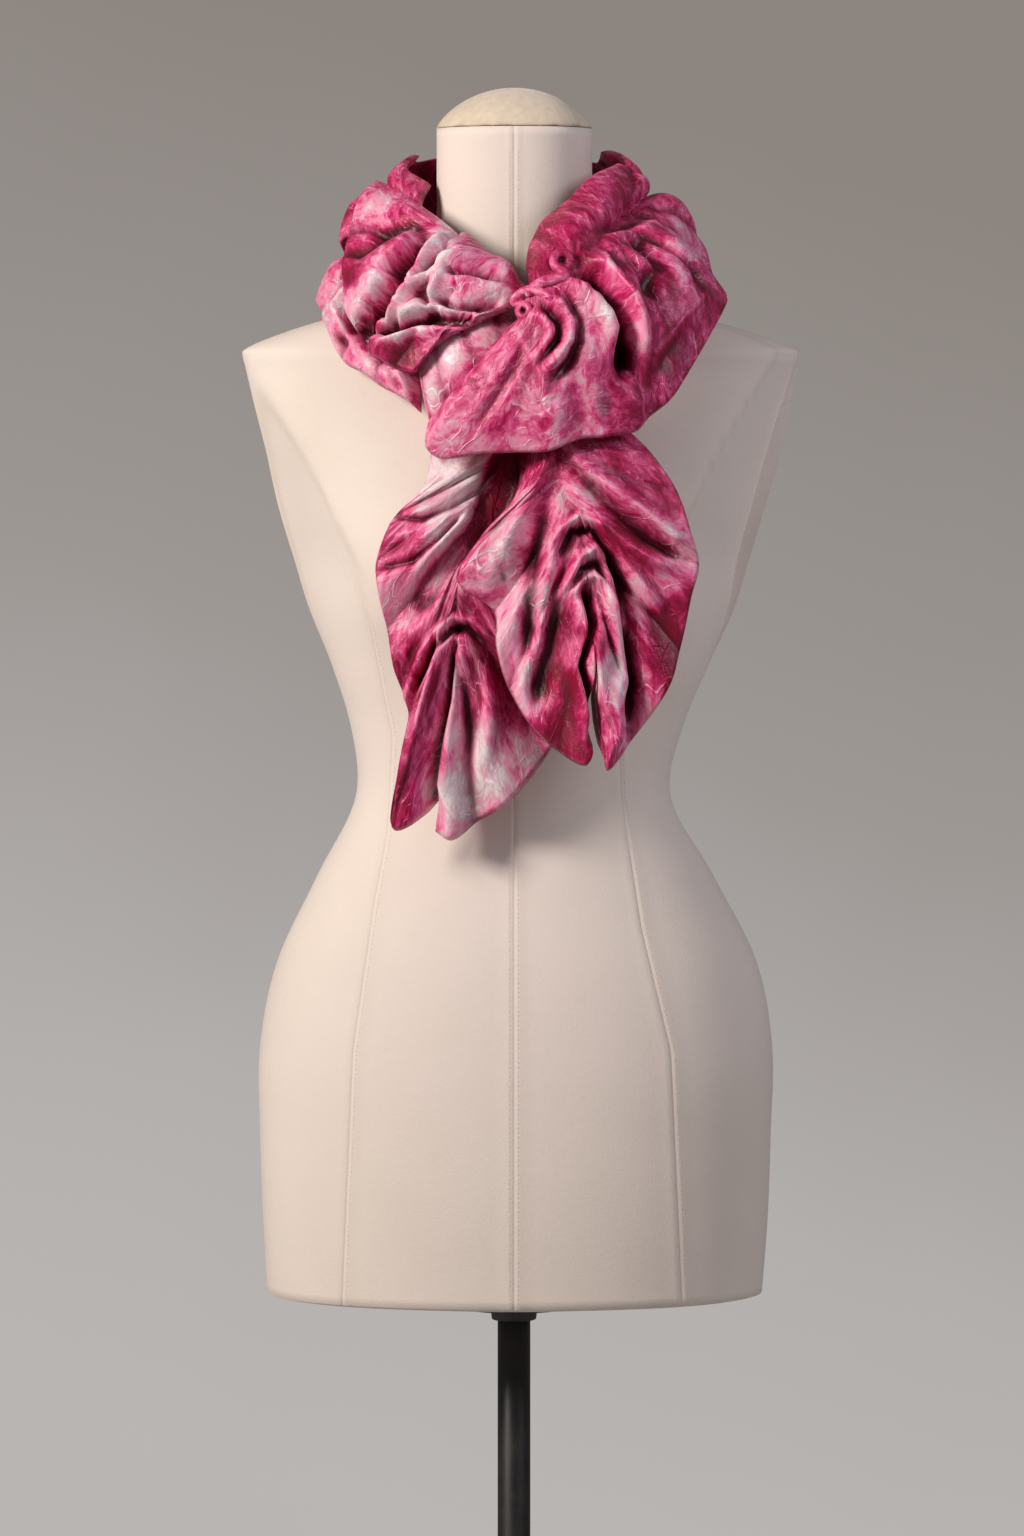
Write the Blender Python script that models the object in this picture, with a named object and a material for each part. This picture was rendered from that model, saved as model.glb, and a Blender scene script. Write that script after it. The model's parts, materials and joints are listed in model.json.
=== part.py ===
"""Gathered velvet tube scarf looped round the neck of a limbless dress form on a stand.

The scarf is one long velvet tube, laid flat and gathered along its centre line. It is
folded in half, passed round the neck and its two ends are pulled through the fold.
Sizes are in millimetres. Heights are counted from a datum under the torso's lower edge.
X runs to the right of the front view, "out" runs forward (world -Y).
"""
import math
from collections import namedtuple

import bmesh
import bpy
import numpy as np
from mathutils import Matrix, Vector
from mathutils.bvhtree import BVHTree

MM = 0.001

# ---------------------------------------------------------------- stand and form
DATUM = 780.0
BASE_RADIUS = 210.0
BASE_THICKNESS = 6.0
BASE_HUB_RADIUS = 24.0
BASE_HUB_TOP = 22.0
POLE_RADIUS = 11.5
PLATE_RADIUS = 40.0
PLATE_THICKNESS = 4.0
PANEL_UNDER = -2.0
PANEL_TOP = 7.7
NECK_TOP = 822.0
CAP_TOP = 850.5
JOIN_GAP = 0.3
FORM_SIDES = 36

Section = namedtuple("Section", "high left right front back")
# Rings of the torso and neck, from the lower edge to the neck's top
BODY_SECTIONS = (
    Section(8, 173, 174, 108, 108),
    Section(60, 176, 178, 111, 114),
    Section(120, 178, 180, 112, 120),
    Section(180, 178, 181, 111, 120),
    Section(240, 166, 170, 106, 110),
    Section(300, 138, 140, 96, 94),
    Section(360, 110, 109, 86, 79),
    Section(405, 114, 118, 89, 79),
    Section(450, 128, 137, 99, 84),
    Section(490, 144, 155, 111, 88),
    Section(520, 153, 164, 116, 92),
    Section(560, 165, 176, 110, 96),
    Section(600, 174, 187, 97, 99),
    Section(636, 183, 194, 83, 99),
    Section(660, 188, 199, 74, 94),
    Section(672, 182, 190, 69, 88),
    Section(682, 156, 162, 65, 82),
    Section(692, 124, 128, 62, 76),
    Section(703, 92, 94, 60, 70),
    Section(716, 70, 71, 57, 64),
    Section(734, 59, 60, 55, 60),
    Section(760, 54.5, 55, 54, 57),
    Section(792, 54, 54.5, 53, 56),
    Section(822, 54, 54.5, 52, 56),
)
BUST_HIGH = 516.0
BUST_APART = 70.0
BUST_RISE = 9.0
RING_PITCH = 30.0
ARMHOLE_TILT = 14.8
ARMHOLE_TURN = 27.0
ARMHOLE_HIGH = 590.0
ARMHOLE_REACH = 0.965
ARMHOLE_FADE = (430.0, 540.0)

# ---------------------------------------------------------------- scarf
CLOTH_WALL = 4.4
REST_GAPS = (0.9, 0.75, 0.7)
MIN_LEAN = 0.7
THROAT_SEAT = 0.7
EDGE_REACH = 2.0
ACROSS_STEPS = 34
LOBE_STEPS = (0.0, 0.14, 0.34, 0.58, 0.82, 1.0)
SLIM_STEPS = (0.0, 0.2, 0.5, 0.8, 1.0)
LIFT_REACH = 45.0
DOWN = (0.0, 0.0, -1.0)
BACK = (0.0, 1.0, 0.0)

Point = namedtuple("Point", "x high out")
# One row for each fold line: where it leaves the gather (0 to 1), its outer end, its rise
Fold = namedtuple("Fold", "at x high out rise")

# Under strand: from the throat over the left shoulder, round the back to the right
UNDER_GATHER = (
    Point(-62, 676, 84), Point(-74, 686, 80), Point(-86, 698, 72), Point(-97, 712, 52),
    Point(-102, 728, 24), Point(-98, 738, -8), Point(-86, 736, -42), Point(-60, 726, -72),
    Point(-24, 718, -88), Point(16, 717, -90), Point(54, 724, -77), Point(83, 735, -48),
    Point(98, 740, -12), Point(102, 730, 22), Point(96, 712, 52), Point(80, 694, 74),
)
UNDER_OUTER = (
    Fold(0.00, -66, 626, 104, 3), Fold(0.05, -77, 635, 104, 10), Fold(0.09, -93, 644, 98, 3),
    Fold(0.13, -104, 652, 90, 12), Fold(0.17, -120, 662, 76, 4), Fold(0.21, -130, 684, 58, 14),
    Fold(0.25, -134, 694, 34, 6), Fold(0.29, -136, 699, 8, 16), Fold(0.33, -131, 690, -22, 4),
    Fold(0.38, -130, 676, -52, 15), Fold(0.43, -106, 654, -86, 3), Fold(0.48, -78, 636, -116, 14),
    Fold(0.53, -40, 632, -124, 4), Fold(0.58, -4, 620, -134, 16), Fold(0.63, 32, 630, -126, 4),
    Fold(0.68, 70, 636, -122, 14), Fold(0.73, 100, 654, -96, 3), Fold(0.78, 126, 672, -66, 16),
    Fold(0.83, 134, 690, -28, 4), Fold(0.88, 141, 700, 6, 15), Fold(0.93, 138, 688, 36, 4),
    Fold(1.00, 118, 662, 72, 8),
)
UNDER_INNER = (
    Fold(0.00, -56, 690, 72, 3), Fold(0.12, -62, 716, 60, 6), Fold(0.25, -76, 736, 38, 6),
    Fold(0.40, -72, 750, -20, 8), Fold(0.58, -10, 742, -72, 6), Fold(0.75, 66, 748, -40, 8),
    Fold(0.90, 78, 740, 26, 6), Fold(1.00, 66, 712, 56, 3),
)

# Top strand: the same cloth's second layer round the back of the neck
TOP_GATHER = (
    Point(-66, 762, 44), Point(-82, 770, 22), Point(-88, 773, -6), Point(-80, 768, -36),
    Point(-58, 762, -62), Point(-24, 758, -78), Point(16, 758, -79), Point(52, 763, -66),
    Point(77, 770, -40), Point(88, 774, -8), Point(84, 768, 22), Point(70, 756, 46),
)
TOP_OUTER = (
    Fold(0.00, -88, 742, 58, 4), Fold(0.06, -104, 744, 44, 14), Fold(0.12, -110, 750, 24, 3),
    Fold(0.19, -120, 742, 2, 16), Fold(0.26, -112, 724, -34, 3), Fold(0.33, -108, 712, -66, 17),
    Fold(0.40, -76, 700, -94, 2), Fold(0.47, -46, 690, -118, 16), Fold(0.54, -6, 694, -112, 3),
    Fold(0.61, 34, 688, -120, 17), Fold(0.68, 66, 700, -100, 2), Fold(0.75, 102, 708, -76, 16),
    Fold(0.82, 112, 726, -38, 3), Fold(0.89, 124, 744, -4, 16), Fold(0.95, 114, 746, 28, 4),
    Fold(1.00, 104, 738, 46, 8),
)
TOP_INNER = (
    Fold(0.00, -60, 786, 22, 3), Fold(0.09, -74, 794, 8, 12), Fold(0.18, -70, 806, -12, 2),
    Fold(0.28, -68, 801, -34, 13), Fold(0.38, -40, 808, -54, 2), Fold(0.50, -8, 800, -72, 13),
    Fold(0.61, 24, 808, -62, 2), Fold(0.72, 58, 801, -50, 12), Fold(0.82, 66, 810, -16, 2),
    Fold(0.91, 78, 798, 10, 12), Fold(1.00, 66, 786, 28, 3),
)

# Top strand at the left of the neck, pinched in to pass through the loop
LEFT_GATHER = (
    Point(1, 695, 120), Point(-11, 701, 121), Point(-26, 709, 117), Point(-40, 720, 111),
    Point(-46, 731, 103), Point(-41, 738, 93), Point(-35, 741, 82),
)
LEFT_OUTER = (
    Fold(0.00, -30, 681, 118, 2), Fold(0.10, -46, 673, 119, 9), Fold(0.19, -60, 665, 117, 3),
    Fold(0.27, -68, 652, 116, 10), Fold(0.35, -83, 656, 110, -1), Fold(0.43, -93, 661, 106, 11),
    Fold(0.51, -102, 667, 98, -6), Fold(0.60, -113, 689, 86, 17), Fold(0.68, -117, 708, 70, 4),
    Fold(0.76, -119, 729, 52, 15), Fold(0.83, -116, 750, 36, 3), Fold(0.91, -108, 772, 18, 19),
    Fold(1.00, -96, 788, -6, 11),
)
LEFT_INNER = (
    Fold(0.00, 10, 707, 100, 2), Fold(0.25, -2, 716, 94, 10), Fold(0.50, -12, 728, 86, 3),
    Fold(0.75, -22, 735, 80, 9), Fold(1.00, -36, 741, 68, 2),
)

# Folded bundle that passes through the loop
THROAT_PATH = (
    Point(-30, 692, 95), Point(-26, 678, 100), Point(-23, 656, 103), Point(-13, 632, 103),
    Point(0, 606, 105),
)
THROAT_HALF_WIDTHS = (23, 31, 35, 41, 38)
THROAT_HALF_DEPTHS = (13, 18, 19, 14, 5)
THROAT_SIDES = 22
THROAT_PLEATS = 5
THROAT_PLEAT_RISE = 0.07

LEFT_END_GATHER = (
    Point(-4, 622, 108), Point(-4, 600, 112), Point(-10, 586, 115), Point(-20, 564, 118),
    Point(-32, 527, 120), Point(-38, 497, 121), Point(-37, 476, 121),
)
LEFT_END_LEFT = (
    Fold(0.00, -50, 618, 102, 2), Fold(0.09, -57, 597, 106, 3), Fold(0.16, -61, 575, 113, 12),
    Fold(0.24, -82, 554, 116, 1), Fold(0.32, -87, 544, 119, 11), Fold(0.41, -95, 522, 119, 1),
    Fold(0.50, -93, 503, 122, 14), Fold(0.59, -88, 476, 119, -2), Fold(0.68, -83, 450, 120, 9),
    Fold(0.77, -74, 418, 113, -6), Fold(0.85, -78, 384, 124, 10), Fold(0.91, -84, 342, 126, 13),
    Fold(0.96, -71, 343, 126, 14), Fold(1.00, -54, 359, 120, 1),
)
LEFT_END_RIGHT = (
    Fold(0.00, 24, 616, 104, 2), Fold(0.10, 26, 597, 107, 3), Fold(0.24, 31, 571, 114, 9),
    Fold(0.38, 35, 537, 117, 1), Fold(0.52, 35, 496, 119, 9), Fold(0.64, 33, 449, 119, 0),
    Fold(0.74, 29, 415, 121, 9), Fold(0.82, 22, 389, 118, 0), Fold(0.88, -5, 357, 124, 12),
    Fold(0.93, -27, 344, 121, -3), Fold(0.97, -44, 332, 125, 10), Fold(1.00, -55, 338, 120, 1),
)

RIGHT_END_GATHER = (
    Point(28, 622, 119), Point(28, 601, 127), Point(31, 585, 134), Point(35, 568, 139),
    Point(42, 548, 143), Point(46, 530, 145), Point(46, 512, 145),
)
RIGHT_END_LEFT = (
    Fold(0.00, 4, 618, 117, 2), Fold(0.12, 10, 597, 123, 2), Fold(0.24, -1, 565, 135, 9),
    Fold(0.35, -23, 539, 140, 2), Fold(0.44, -39, 511, 143, 10), Fold(0.54, -14, 489, 141, -1),
    Fold(0.64, -12, 465, 146, 12), Fold(0.74, -3, 436, 145, -4), Fold(0.82, 12, 411, 148, 5),
    Fold(0.89, 31, 394, 149, 0), Fold(0.95, 50, 385, 153, 14), Fold(1.00, 56, 404, 146, 2),
)
RIGHT_END_RIGHT = (
    Fold(0.00, 70, 624, 113, 2), Fold(0.10, 80, 611, 117, 3), Fold(0.20, 94, 596, 128, 10),
    Fold(0.29, 111, 571, 135, 2), Fold(0.38, 121, 541, 141, 13), Fold(0.47, 126, 521, 141, 2),
    Fold(0.56, 120, 497, 145, 12), Fold(0.65, 114, 463, 142, -4), Fold(0.75, 104, 435, 146, 9),
    Fold(0.84, 81, 401, 145, -5), Fold(0.92, 62, 381, 154, 16), Fold(1.00, 58, 404, 146, 2),
)

# The folded middle of the scarf: fan over the front and right, inner lobe by the neck
LOOP_GATHER = (
    Point(2, 687, 138), Point(9, 693, 144), Point(18, 701, 145), Point(30, 712, 140),
    Point(43, 724, 128), Point(56, 738, 109), Point(66, 750, 85), Point(74, 760, 55),
    Point(82, 768, 19),
)
LOOP_OUTER = (
    Fold(0.00, -59, 619, 137, 2), Fold(0.05, -61, 602, 142, 10), Fold(0.10, -50, 593, 144, 5),
    Fold(0.16, -26, 596, 148, 15), Fold(0.22, 1, 597, 149, 8), Fold(0.28, 24, 598, 152, 17),
    Fold(0.34, 45, 606, 149, 8), Fold(0.41, 64, 608, 149, 18), Fold(0.47, 84, 612, 141, 12),
    Fold(0.53, 94, 622, 132, -1), Fold(0.60, 108, 634, 125, 24), Fold(0.67, 121, 653, 109, 9),
    Fold(0.73, 132, 672, 91, 21), Fold(0.79, 145, 695, 69, 7), Fold(0.84, 147, 703, 57, 22),
    Fold(0.90, 138, 720, 33, 5), Fold(0.95, 132, 740, 11, 19), Fold(1.00, 116, 757, -17, 9),
)
LOOP_INNER = (
    Fold(0.00, 4, 703, 119, 2), Fold(0.15, 10, 712, 107, 6), Fold(0.30, 8, 728, 95, 14),
    Fold(0.45, 12, 744, 87, 5), Fold(0.58, 21, 759, 81, 17), Fold(0.72, 36, 771, 72, 6),
    Fold(0.86, 54, 788, 57, 16), Fold(1.00, 76, 798, 25, 4),
)


# ---------------------------------------------------------------- small helpers
def clear_scene():
    for item in list(bpy.data.objects):
        bpy.data.objects.remove(item, do_unlink=True)
    for mesh in list(bpy.data.meshes):
        bpy.data.meshes.remove(mesh)


def material(name, colour, roughness, metallic=0.0):
    made = bpy.data.materials.new(name)
    made.use_nodes = True
    shader = made.node_tree.nodes["Principled BSDF"]
    shader.inputs["Base Color"].default_value = (*colour, 1.0)
    shader.inputs["Roughness"].default_value = roughness
    shader.inputs["Metallic"].default_value = metallic
    made.diffuse_color = (*colour, 1.0)
    return made


def world(points):
    """Rows of x, high, out in mm turned to world positions in mm."""
    points = np.asarray(points, dtype=float)
    return np.stack([points[:, 0], -points[:, 2], points[:, 1] + DATUM], axis=1)


def add_solid(name, verts, faces, coat, smooth=True):
    """One closed mesh object, faces turned outwards, from positions in mm."""
    mesh = bpy.data.meshes.new(name)
    mesh.from_pydata([tuple(v * MM) for v in np.asarray(verts)], [], faces)
    body = bmesh.new()
    body.from_mesh(mesh)
    bmesh.ops.recalc_face_normals(body, faces=body.faces)
    if body.calc_volume(signed=True) < 0:
        bmesh.ops.reverse_faces(body, faces=body.faces)
    body.to_mesh(mesh)
    body.free()
    mesh.materials.append(coat)
    for face in mesh.polygons:
        face.use_smooth = smooth
    made = bpy.data.objects.new(name, mesh)
    bpy.context.collection.objects.link(made)
    return made


def tree_of(made):
    """Search tree over an object's mesh, in metres."""
    mesh = made.data
    corners = [vert.co.copy() for vert in mesh.vertices]
    return BVHTree.FromPolygons(corners, [list(face.vertices) for face in mesh.polygons])


def curve(ats, values, u):
    """Smooth curve through the rows, with tangents from their neighbours."""
    ats = np.asarray(ats, dtype=float)
    values = np.asarray(values, dtype=float)
    slopes = np.gradient(values, ats, axis=0)
    k = np.clip(np.searchsorted(ats, u, side="right") - 1, 0, len(ats) - 2)
    span = (ats[k + 1] - ats[k])
    t = (u - ats[k]) / span
    if values.ndim > 1:
        span = span[:, None]
        t = t[:, None]
    start = (1 + 2 * t) * (1 - t) ** 2 * values[k] + t * (1 - t) ** 2 * span * slopes[k]
    end = t * t * (3 - 2 * t) * values[k + 1] + t * t * (t - 1) * span * slopes[k + 1]
    return start + end


def ridged(ats, rises, u):
    """Rise across the folds: broad round crests, narrow sharp troughs."""
    ats = np.asarray(ats, dtype=float)
    rises = np.asarray(rises, dtype=float)
    k = np.clip(np.searchsorted(ats, u, side="right") - 1, 0, len(ats) - 2)
    t = (u - ats[k]) / (ats[k + 1] - ats[k])
    climbing = rises[k] < rises[k + 1]
    blend = np.where(climbing, np.sin(0.5 * np.pi * t), 1.0 - np.cos(0.5 * np.pi * t))
    return rises[k] + (rises[k + 1] - rises[k]) * blend


def unit(vectors):
    return vectors / np.maximum(np.linalg.norm(vectors, axis=-1, keepdims=True), 1e-9)


def outward(points):
    """Away from the form: level round the chest, rising over the shoulders."""
    centre = np.zeros_like(points)
    centre[..., 1] = 30.0
    centre[..., 2] = np.minimum(points[..., 2], DATUM + 600.0)
    return unit(points - centre)


# ---------------------------------------------------------------- lathe and form
def lathe(name, profile, sides, coat):
    """Turned solid about the stand's axis from (radius, z) rows, both ends closed."""
    verts = []
    faces = []
    for radius, high in profile:
        for k in range(sides):
            turn = 2 * math.pi * k / sides
            verts.append((radius * math.cos(turn), radius * math.sin(turn), high))
    for ring in range(len(profile) - 1):
        for k in range(sides):
            a = ring * sides + k
            b = ring * sides + (k + 1) % sides
            faces.append((a, b, b + sides, a + sides))
    faces.append(tuple(range(sides)))
    faces.append(tuple(range((len(profile) - 1) * sides, len(profile) * sides)))
    return add_solid(name, verts, faces, coat)


def body_ring(section, sides):
    """One section of the form: rounded, with its own left, right, front and back reach."""
    ring = []
    for k in range(sides):
        turn = 2 * math.pi * k / sides
        across = math.copysign(abs(math.cos(turn)) ** 0.92, math.cos(turn))
        along = math.copysign(abs(math.sin(turn)) ** 0.92, math.sin(turn))
        x = across * (section.right if across > 0 else section.left)
        out = along * (section.front if along > 0 else section.back)
        if out > 0:
            near = math.exp(-((section.high - BUST_HIGH) / 48.0) ** 2)
            side = math.exp(-((abs(x) - BUST_APART) / 38.0) ** 2)
            out += BUST_RISE * near * (side - 0.55 * math.exp(-(x / 30.0) ** 2))
        ring.append((x, section.high, out))
    return ring


def loft(rings, sides):
    verts = world([point for ring in rings for point in ring])
    faces = []
    for row in range(len(rings) - 1):
        for k in range(sides):
            a = row * sides + k
            b = row * sides + (k + 1) % sides
            faces.append((a, b, b + sides, a + sides))
    faces.append(tuple(range(sides)))
    faces.append(tuple(range((len(rings) - 1) * sides, len(rings) * sides)))
    return verts, faces


def body_sections():
    """Rings at an even pitch, smoothly between the listed sections."""
    highs = [section.high for section in BODY_SECTIONS]
    count = int(round((highs[-1] - highs[0]) / RING_PITCH)) + 1
    fine = np.unique(np.concatenate([np.linspace(highs[0], highs[-1], count), highs[-10:]]))
    rows = curve(highs, np.array(BODY_SECTIONS), fine)
    return [Section(*row) for row in rows]


def flatten_armholes(ring):
    """Presses the shoulder's front corner flat, as the covered armhole plates are."""
    turn = math.radians(ARMHOLE_TURN)
    half = 0.5 * (max(x for x, high, out in ring) - min(x for x, high, out in ring))
    high = ring[0][1]
    low, full = ARMHOLE_FADE
    share = min(1.0, max(0.0, (high - low) / (full - low)))
    share = share * share * (3.0 - 2.0 * share)
    pressed = []
    for x, _, out in ring:
        side = math.copysign(1.0, x)
        past = side * x * math.cos(turn) + out * math.sin(turn) - ARMHOLE_REACH * half * math.cos(turn)
        past = max(0.0, past) * share if out > 0 else 0.0
        pressed.append((x - side * past * math.cos(turn), high, out - past * math.sin(turn)))
    return pressed


def build_torso(coat):
    rings = [flatten_armholes(body_ring(section, FORM_SIDES)) for section in body_sections()]
    verts, faces = loft(rings, FORM_SIDES)
    return add_solid("form_torso", verts, faces, coat)


def build_cap(coat):
    """Domed fabric cap over the neck's top."""
    rings = []
    for k in range(7):
        rise = math.sin(0.5 * math.pi * min(k / 6.0, 0.97))
        reach = math.cos(0.5 * math.pi * min(k / 6.0, 0.97)) ** 0.7
        high = NECK_TOP + JOIN_GAP + (CAP_TOP - NECK_TOP) * rise
        section = Section(high, 53.5 * reach, 54 * reach, 51.5 * reach, 55.5 * reach)
        rings.append(body_ring(section, FORM_SIDES))
    verts, faces = loft(rings, FORM_SIDES)
    return add_solid("form_neck_cap", verts, faces, coat)


def build_panel(coat):
    """Flat panel that closes the torso's underside."""
    lower = BODY_SECTIONS[0]
    rings = []
    for high, inset in ((PANEL_UNDER, 5.0), (PANEL_UNDER + 3.0, 2.0), (PANEL_TOP, 2.0)):
        reaches = [reach - inset for reach in lower[1:]]
        section = Section(high, *reaches)
        rings.append(body_ring(section, FORM_SIDES))
    verts, faces = loft(rings, FORM_SIDES)
    return add_solid("form_underside_panel", verts, faces, coat)


def build_stand(metal):
    plate_top = DATUM + PANEL_UNDER - JOIN_GAP
    plate_under = plate_top - PLATE_THICKNESS
    hub = plate_under - 6.0
    base = [(BASE_RADIUS - 2, 0), (BASE_RADIUS, 2), (BASE_RADIUS, BASE_THICKNESS - 2)]
    base += [(BASE_RADIUS - 3, BASE_THICKNESS)]
    base += [(BASE_HUB_RADIUS + 5, BASE_THICKNESS + 1), (BASE_HUB_RADIUS, BASE_THICKNESS + 5)]
    base += [(BASE_HUB_RADIUS - 2, BASE_HUB_TOP), (5.0, BASE_HUB_TOP)]
    lathe("stand_base", base, 48, metal)
    pole = [(POLE_RADIUS - 0.5, BASE_HUB_TOP + JOIN_GAP), (POLE_RADIUS, BASE_HUB_TOP + 1.0)]
    pole += [(POLE_RADIUS, hub - 1.0), (POLE_RADIUS - 0.5, hub - JOIN_GAP)]
    lathe("stand_pole", pole, 28, metal)
    plate = [(POLE_RADIUS + 4, hub), (POLE_RADIUS + 5, plate_under)]
    plate += [(PLATE_RADIUS - 1, plate_under), (PLATE_RADIUS, plate_top)]
    lathe("stand_top_plate", plate, 28, metal)


# ---------------------------------------------------------------- cloth
def lobe(gather, folds, steps, u):
    """One side of a stretch, from the gather out to the folded edge of the tube."""
    ats = [fold.at for fold in folds]
    along = np.linspace(0.0, 1.0, len(gather))
    start = curve(along, world(gather), u)
    end = curve(ats, world([(fold.x, fold.high, fold.out) for fold in folds]), u)
    rises = [fold.rise for fold in folds]
    rise = ridged(ats, rises, u)
    level = np.interp(u, (0.0, 0.5, 1.0), (np.mean(rises[:5]), np.mean(rises), np.mean(rises[-5:])))
    ray = unit(end - start)
    away = outward(0.5 * (start + end))
    away = unit(away - np.sum(away * ray, axis=1, keepdims=True) * ray)
    points = []
    for v in steps:
        swell = math.sin(math.pi * v ** 0.8)
        deepen = min(1.0, v / 0.45) ** 1.3
        bulge = level * swell + (rise - level) * deepen * (1.0 - 0.25 * v)
        points.append(start + (end - start) * v + away * bulge[:, None])
    return np.stack(points, axis=1), away


def stretch_grid(gather, one_side, other_side, one_steps, other_steps, rows):
    """Both lobes of a stretch as one grid, edge to gather to edge."""
    u = np.linspace(0.0, 1.0, rows)
    first, first_away = lobe(gather, one_side, one_steps, u)
    second, second_away = lobe(gather, other_side, other_steps, u)
    points = np.concatenate([second[:, :0:-1], first], axis=1)
    share = np.concatenate([-np.asarray(other_steps)[:0:-1], np.asarray(one_steps)])
    blend = np.clip(0.5 + share / 0.5, 0.0, 1.0)[None, :, None]
    away = unit(second_away[:, None] * (1 - blend) + first_away[:, None] * blend)
    return points, away


def needed_lift(points, away, trees, clearance):
    """How far each point must move outwards to stay clear of what lies under it."""
    lift = np.zeros(points.shape[:2])
    for i in range(points.shape[0]):
        for j in range(points.shape[1]):
            heading = Vector(away[i, j])
            start = Vector(points[i, j] * MM) + heading * (LIFT_REACH * MM)
            reach = LIFT_REACH + clearance[i, j]
            for tree in trees:
                hit = tree.ray_cast(start, -heading, reach * MM)
                if hit[0] is not None:
                    lift[i, j] = max(lift[i, j], reach - hit[3] / MM)
    return lift


def finer(grid, times):
    """Grid with extra rows and columns between the given ones."""
    rows = np.linspace(0, grid.shape[0] - 1, (grid.shape[0] - 1) * times + 1)
    low = np.minimum(rows.astype(int), grid.shape[0] - 2)
    part = (rows - low)[:, None, None]
    grid = grid[low] * (1 - part) + grid[low + 1] * part
    cols = np.linspace(0, grid.shape[1] - 1, (grid.shape[1] - 1) * times + 1)
    low = np.minimum(cols.astype(int), grid.shape[1] - 2)
    part = (cols - low)[None, :, None]
    return grid[:, low] * (1 - part) + grid[:, low + 1] * part


def with_border(grid, reach):
    """Grid with one more ring of points carried on past its edges."""
    if grid.shape[-1] == 3 and reach > 0:
        top = grid[:1] + unit(grid[:1] - grid[1:2]) * reach
        bottom = grid[-1:] + unit(grid[-1:] - grid[-2:-1]) * reach
        grid = np.concatenate([top, grid, bottom])
        left = grid[:, :1] + unit(grid[:, :1] - grid[:, 1:2]) * reach
        right = grid[:, -1:] + unit(grid[:, -1:] - grid[:, -2:-1]) * reach
        return np.concatenate([left, grid, right], axis=1)
    return np.pad(grid, ((1, 1), (1, 1)) + ((0, 0),) * (grid.ndim - 2), mode="edge")


def without_border(lift):
    """Folds the border ring's lifts into the grid's own edges."""
    for _ in range(2):
        lift[1] = np.maximum(lift[1], lift[0])
        lift[-2] = np.maximum(lift[-2], lift[-1])
        lift = lift.T
    return lift[1:-1, 1:-1]


def spread(lift, times, shape):
    """Largest lift needed within one grid cell of each vertex."""
    out = np.zeros(shape)
    for i in range(shape[0]):
        for j in range(shape[1]):
            rows = slice(max(0, (i - 1) * times + 1), (i + 1) * times)
            cols = slice(max(0, (j - 1) * times + 1), (j + 1) * times)
            out[i, j] = lift[rows, cols].max()
    return out


def half_wall(points, away):
    """Half the wall, measured along the outward direction, thicker where the cloth slopes."""
    across = np.gradient(points, axis=0)
    along = np.gradient(points, axis=1)
    face = unit(np.cross(across, along))
    lean = np.clip(np.abs(np.sum(face * away, axis=2)), MIN_LEAN, 1.0)
    return 0.5 * CLOTH_WALL / lean


def rest_on(points, away, trees):
    """Raises the stretch clear of the solids it rests on."""
    times = 4
    for gap in REST_GAPS:
        fine = finer(points, times)
        fine_away = unit(finer(away, times))
        half = finer(half_wall(points, away)[..., None], times)[..., 0]
        past = with_border(fine, EDGE_REACH)
        lift = needed_lift(past, with_border(fine_away, 0), trees, with_border(half + gap, 0))
        lift = without_border(lift)
        points = points + away * spread(lift, times, points.shape[:2])[..., None]
    return points


def close_sheet(name, points, away, coat):
    """Closed wall of even thickness about a grid of points."""
    rows, cols = points.shape[:2]
    half = half_wall(points, away)[..., None]
    top = (points + away * half).reshape(-1, 3)
    verts = np.concatenate([top, (points - away * half).reshape(-1, 3)])
    under = rows * cols
    faces = []
    for i in range(rows - 1):
        for j in range(cols - 1):
            a = i * cols + j
            faces.append((a, a + 1, a + cols + 1, a + cols))
            faces.append((under + a, under + a + cols, under + a + cols + 1, under + a + 1))
    rim = list(range(cols))
    rim += [i * cols + cols - 1 for i in range(1, rows)]
    rim += [(rows - 1) * cols + j for j in range(cols - 2, -1, -1)]
    rim += [i * cols for i in range(rows - 2, 0, -1)]
    for a, b in zip(rim, rim[1:] + rim[:1]):
        faces.append((a, under + a, under + b, b))
    return add_solid(name, verts, faces, coat)


def nearest_along(mesh, tree, heading):
    """Shortest way from the mesh's corners, edge middles and faces to a tree along a heading."""
    spots = [vert.co.copy() for vert in mesh.vertices]
    spots += [0.5 * (mesh.vertices[a].co + mesh.vertices[b].co) for a, b in mesh.edge_keys]
    spots += [face.center.copy() for face in mesh.polygons]
    ways = [tree.ray_cast(spot, heading)[3] for spot in spots]
    return min([way for way in ways if way is not None], default=1.0)


def settle(made, carriers, heading, seat):
    """Slides a stretch along a heading until it lies a seat's width from what carries it."""
    heading = Vector(heading)
    own = tree_of(made)
    way = 1.0
    for carrier in carriers:
        way = min(way, nearest_along(made.data, tree_of(carrier), heading))
        way = min(way, nearest_along(carrier.data, own, -heading))
    made.data.transform(Matrix.Translation(heading * (way - seat * MM)))


def build_stretch(name, gather, one_side, other_side, coat, carriers, slim=False):
    steps = SLIM_STEPS if slim else LOBE_STEPS
    points, away = stretch_grid(gather, one_side, other_side, LOBE_STEPS, steps, ACROSS_STEPS)
    points = rest_on(points, away, [tree_of(carrier) for carrier in carriers])
    return close_sheet(name, points, away, coat)


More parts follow.
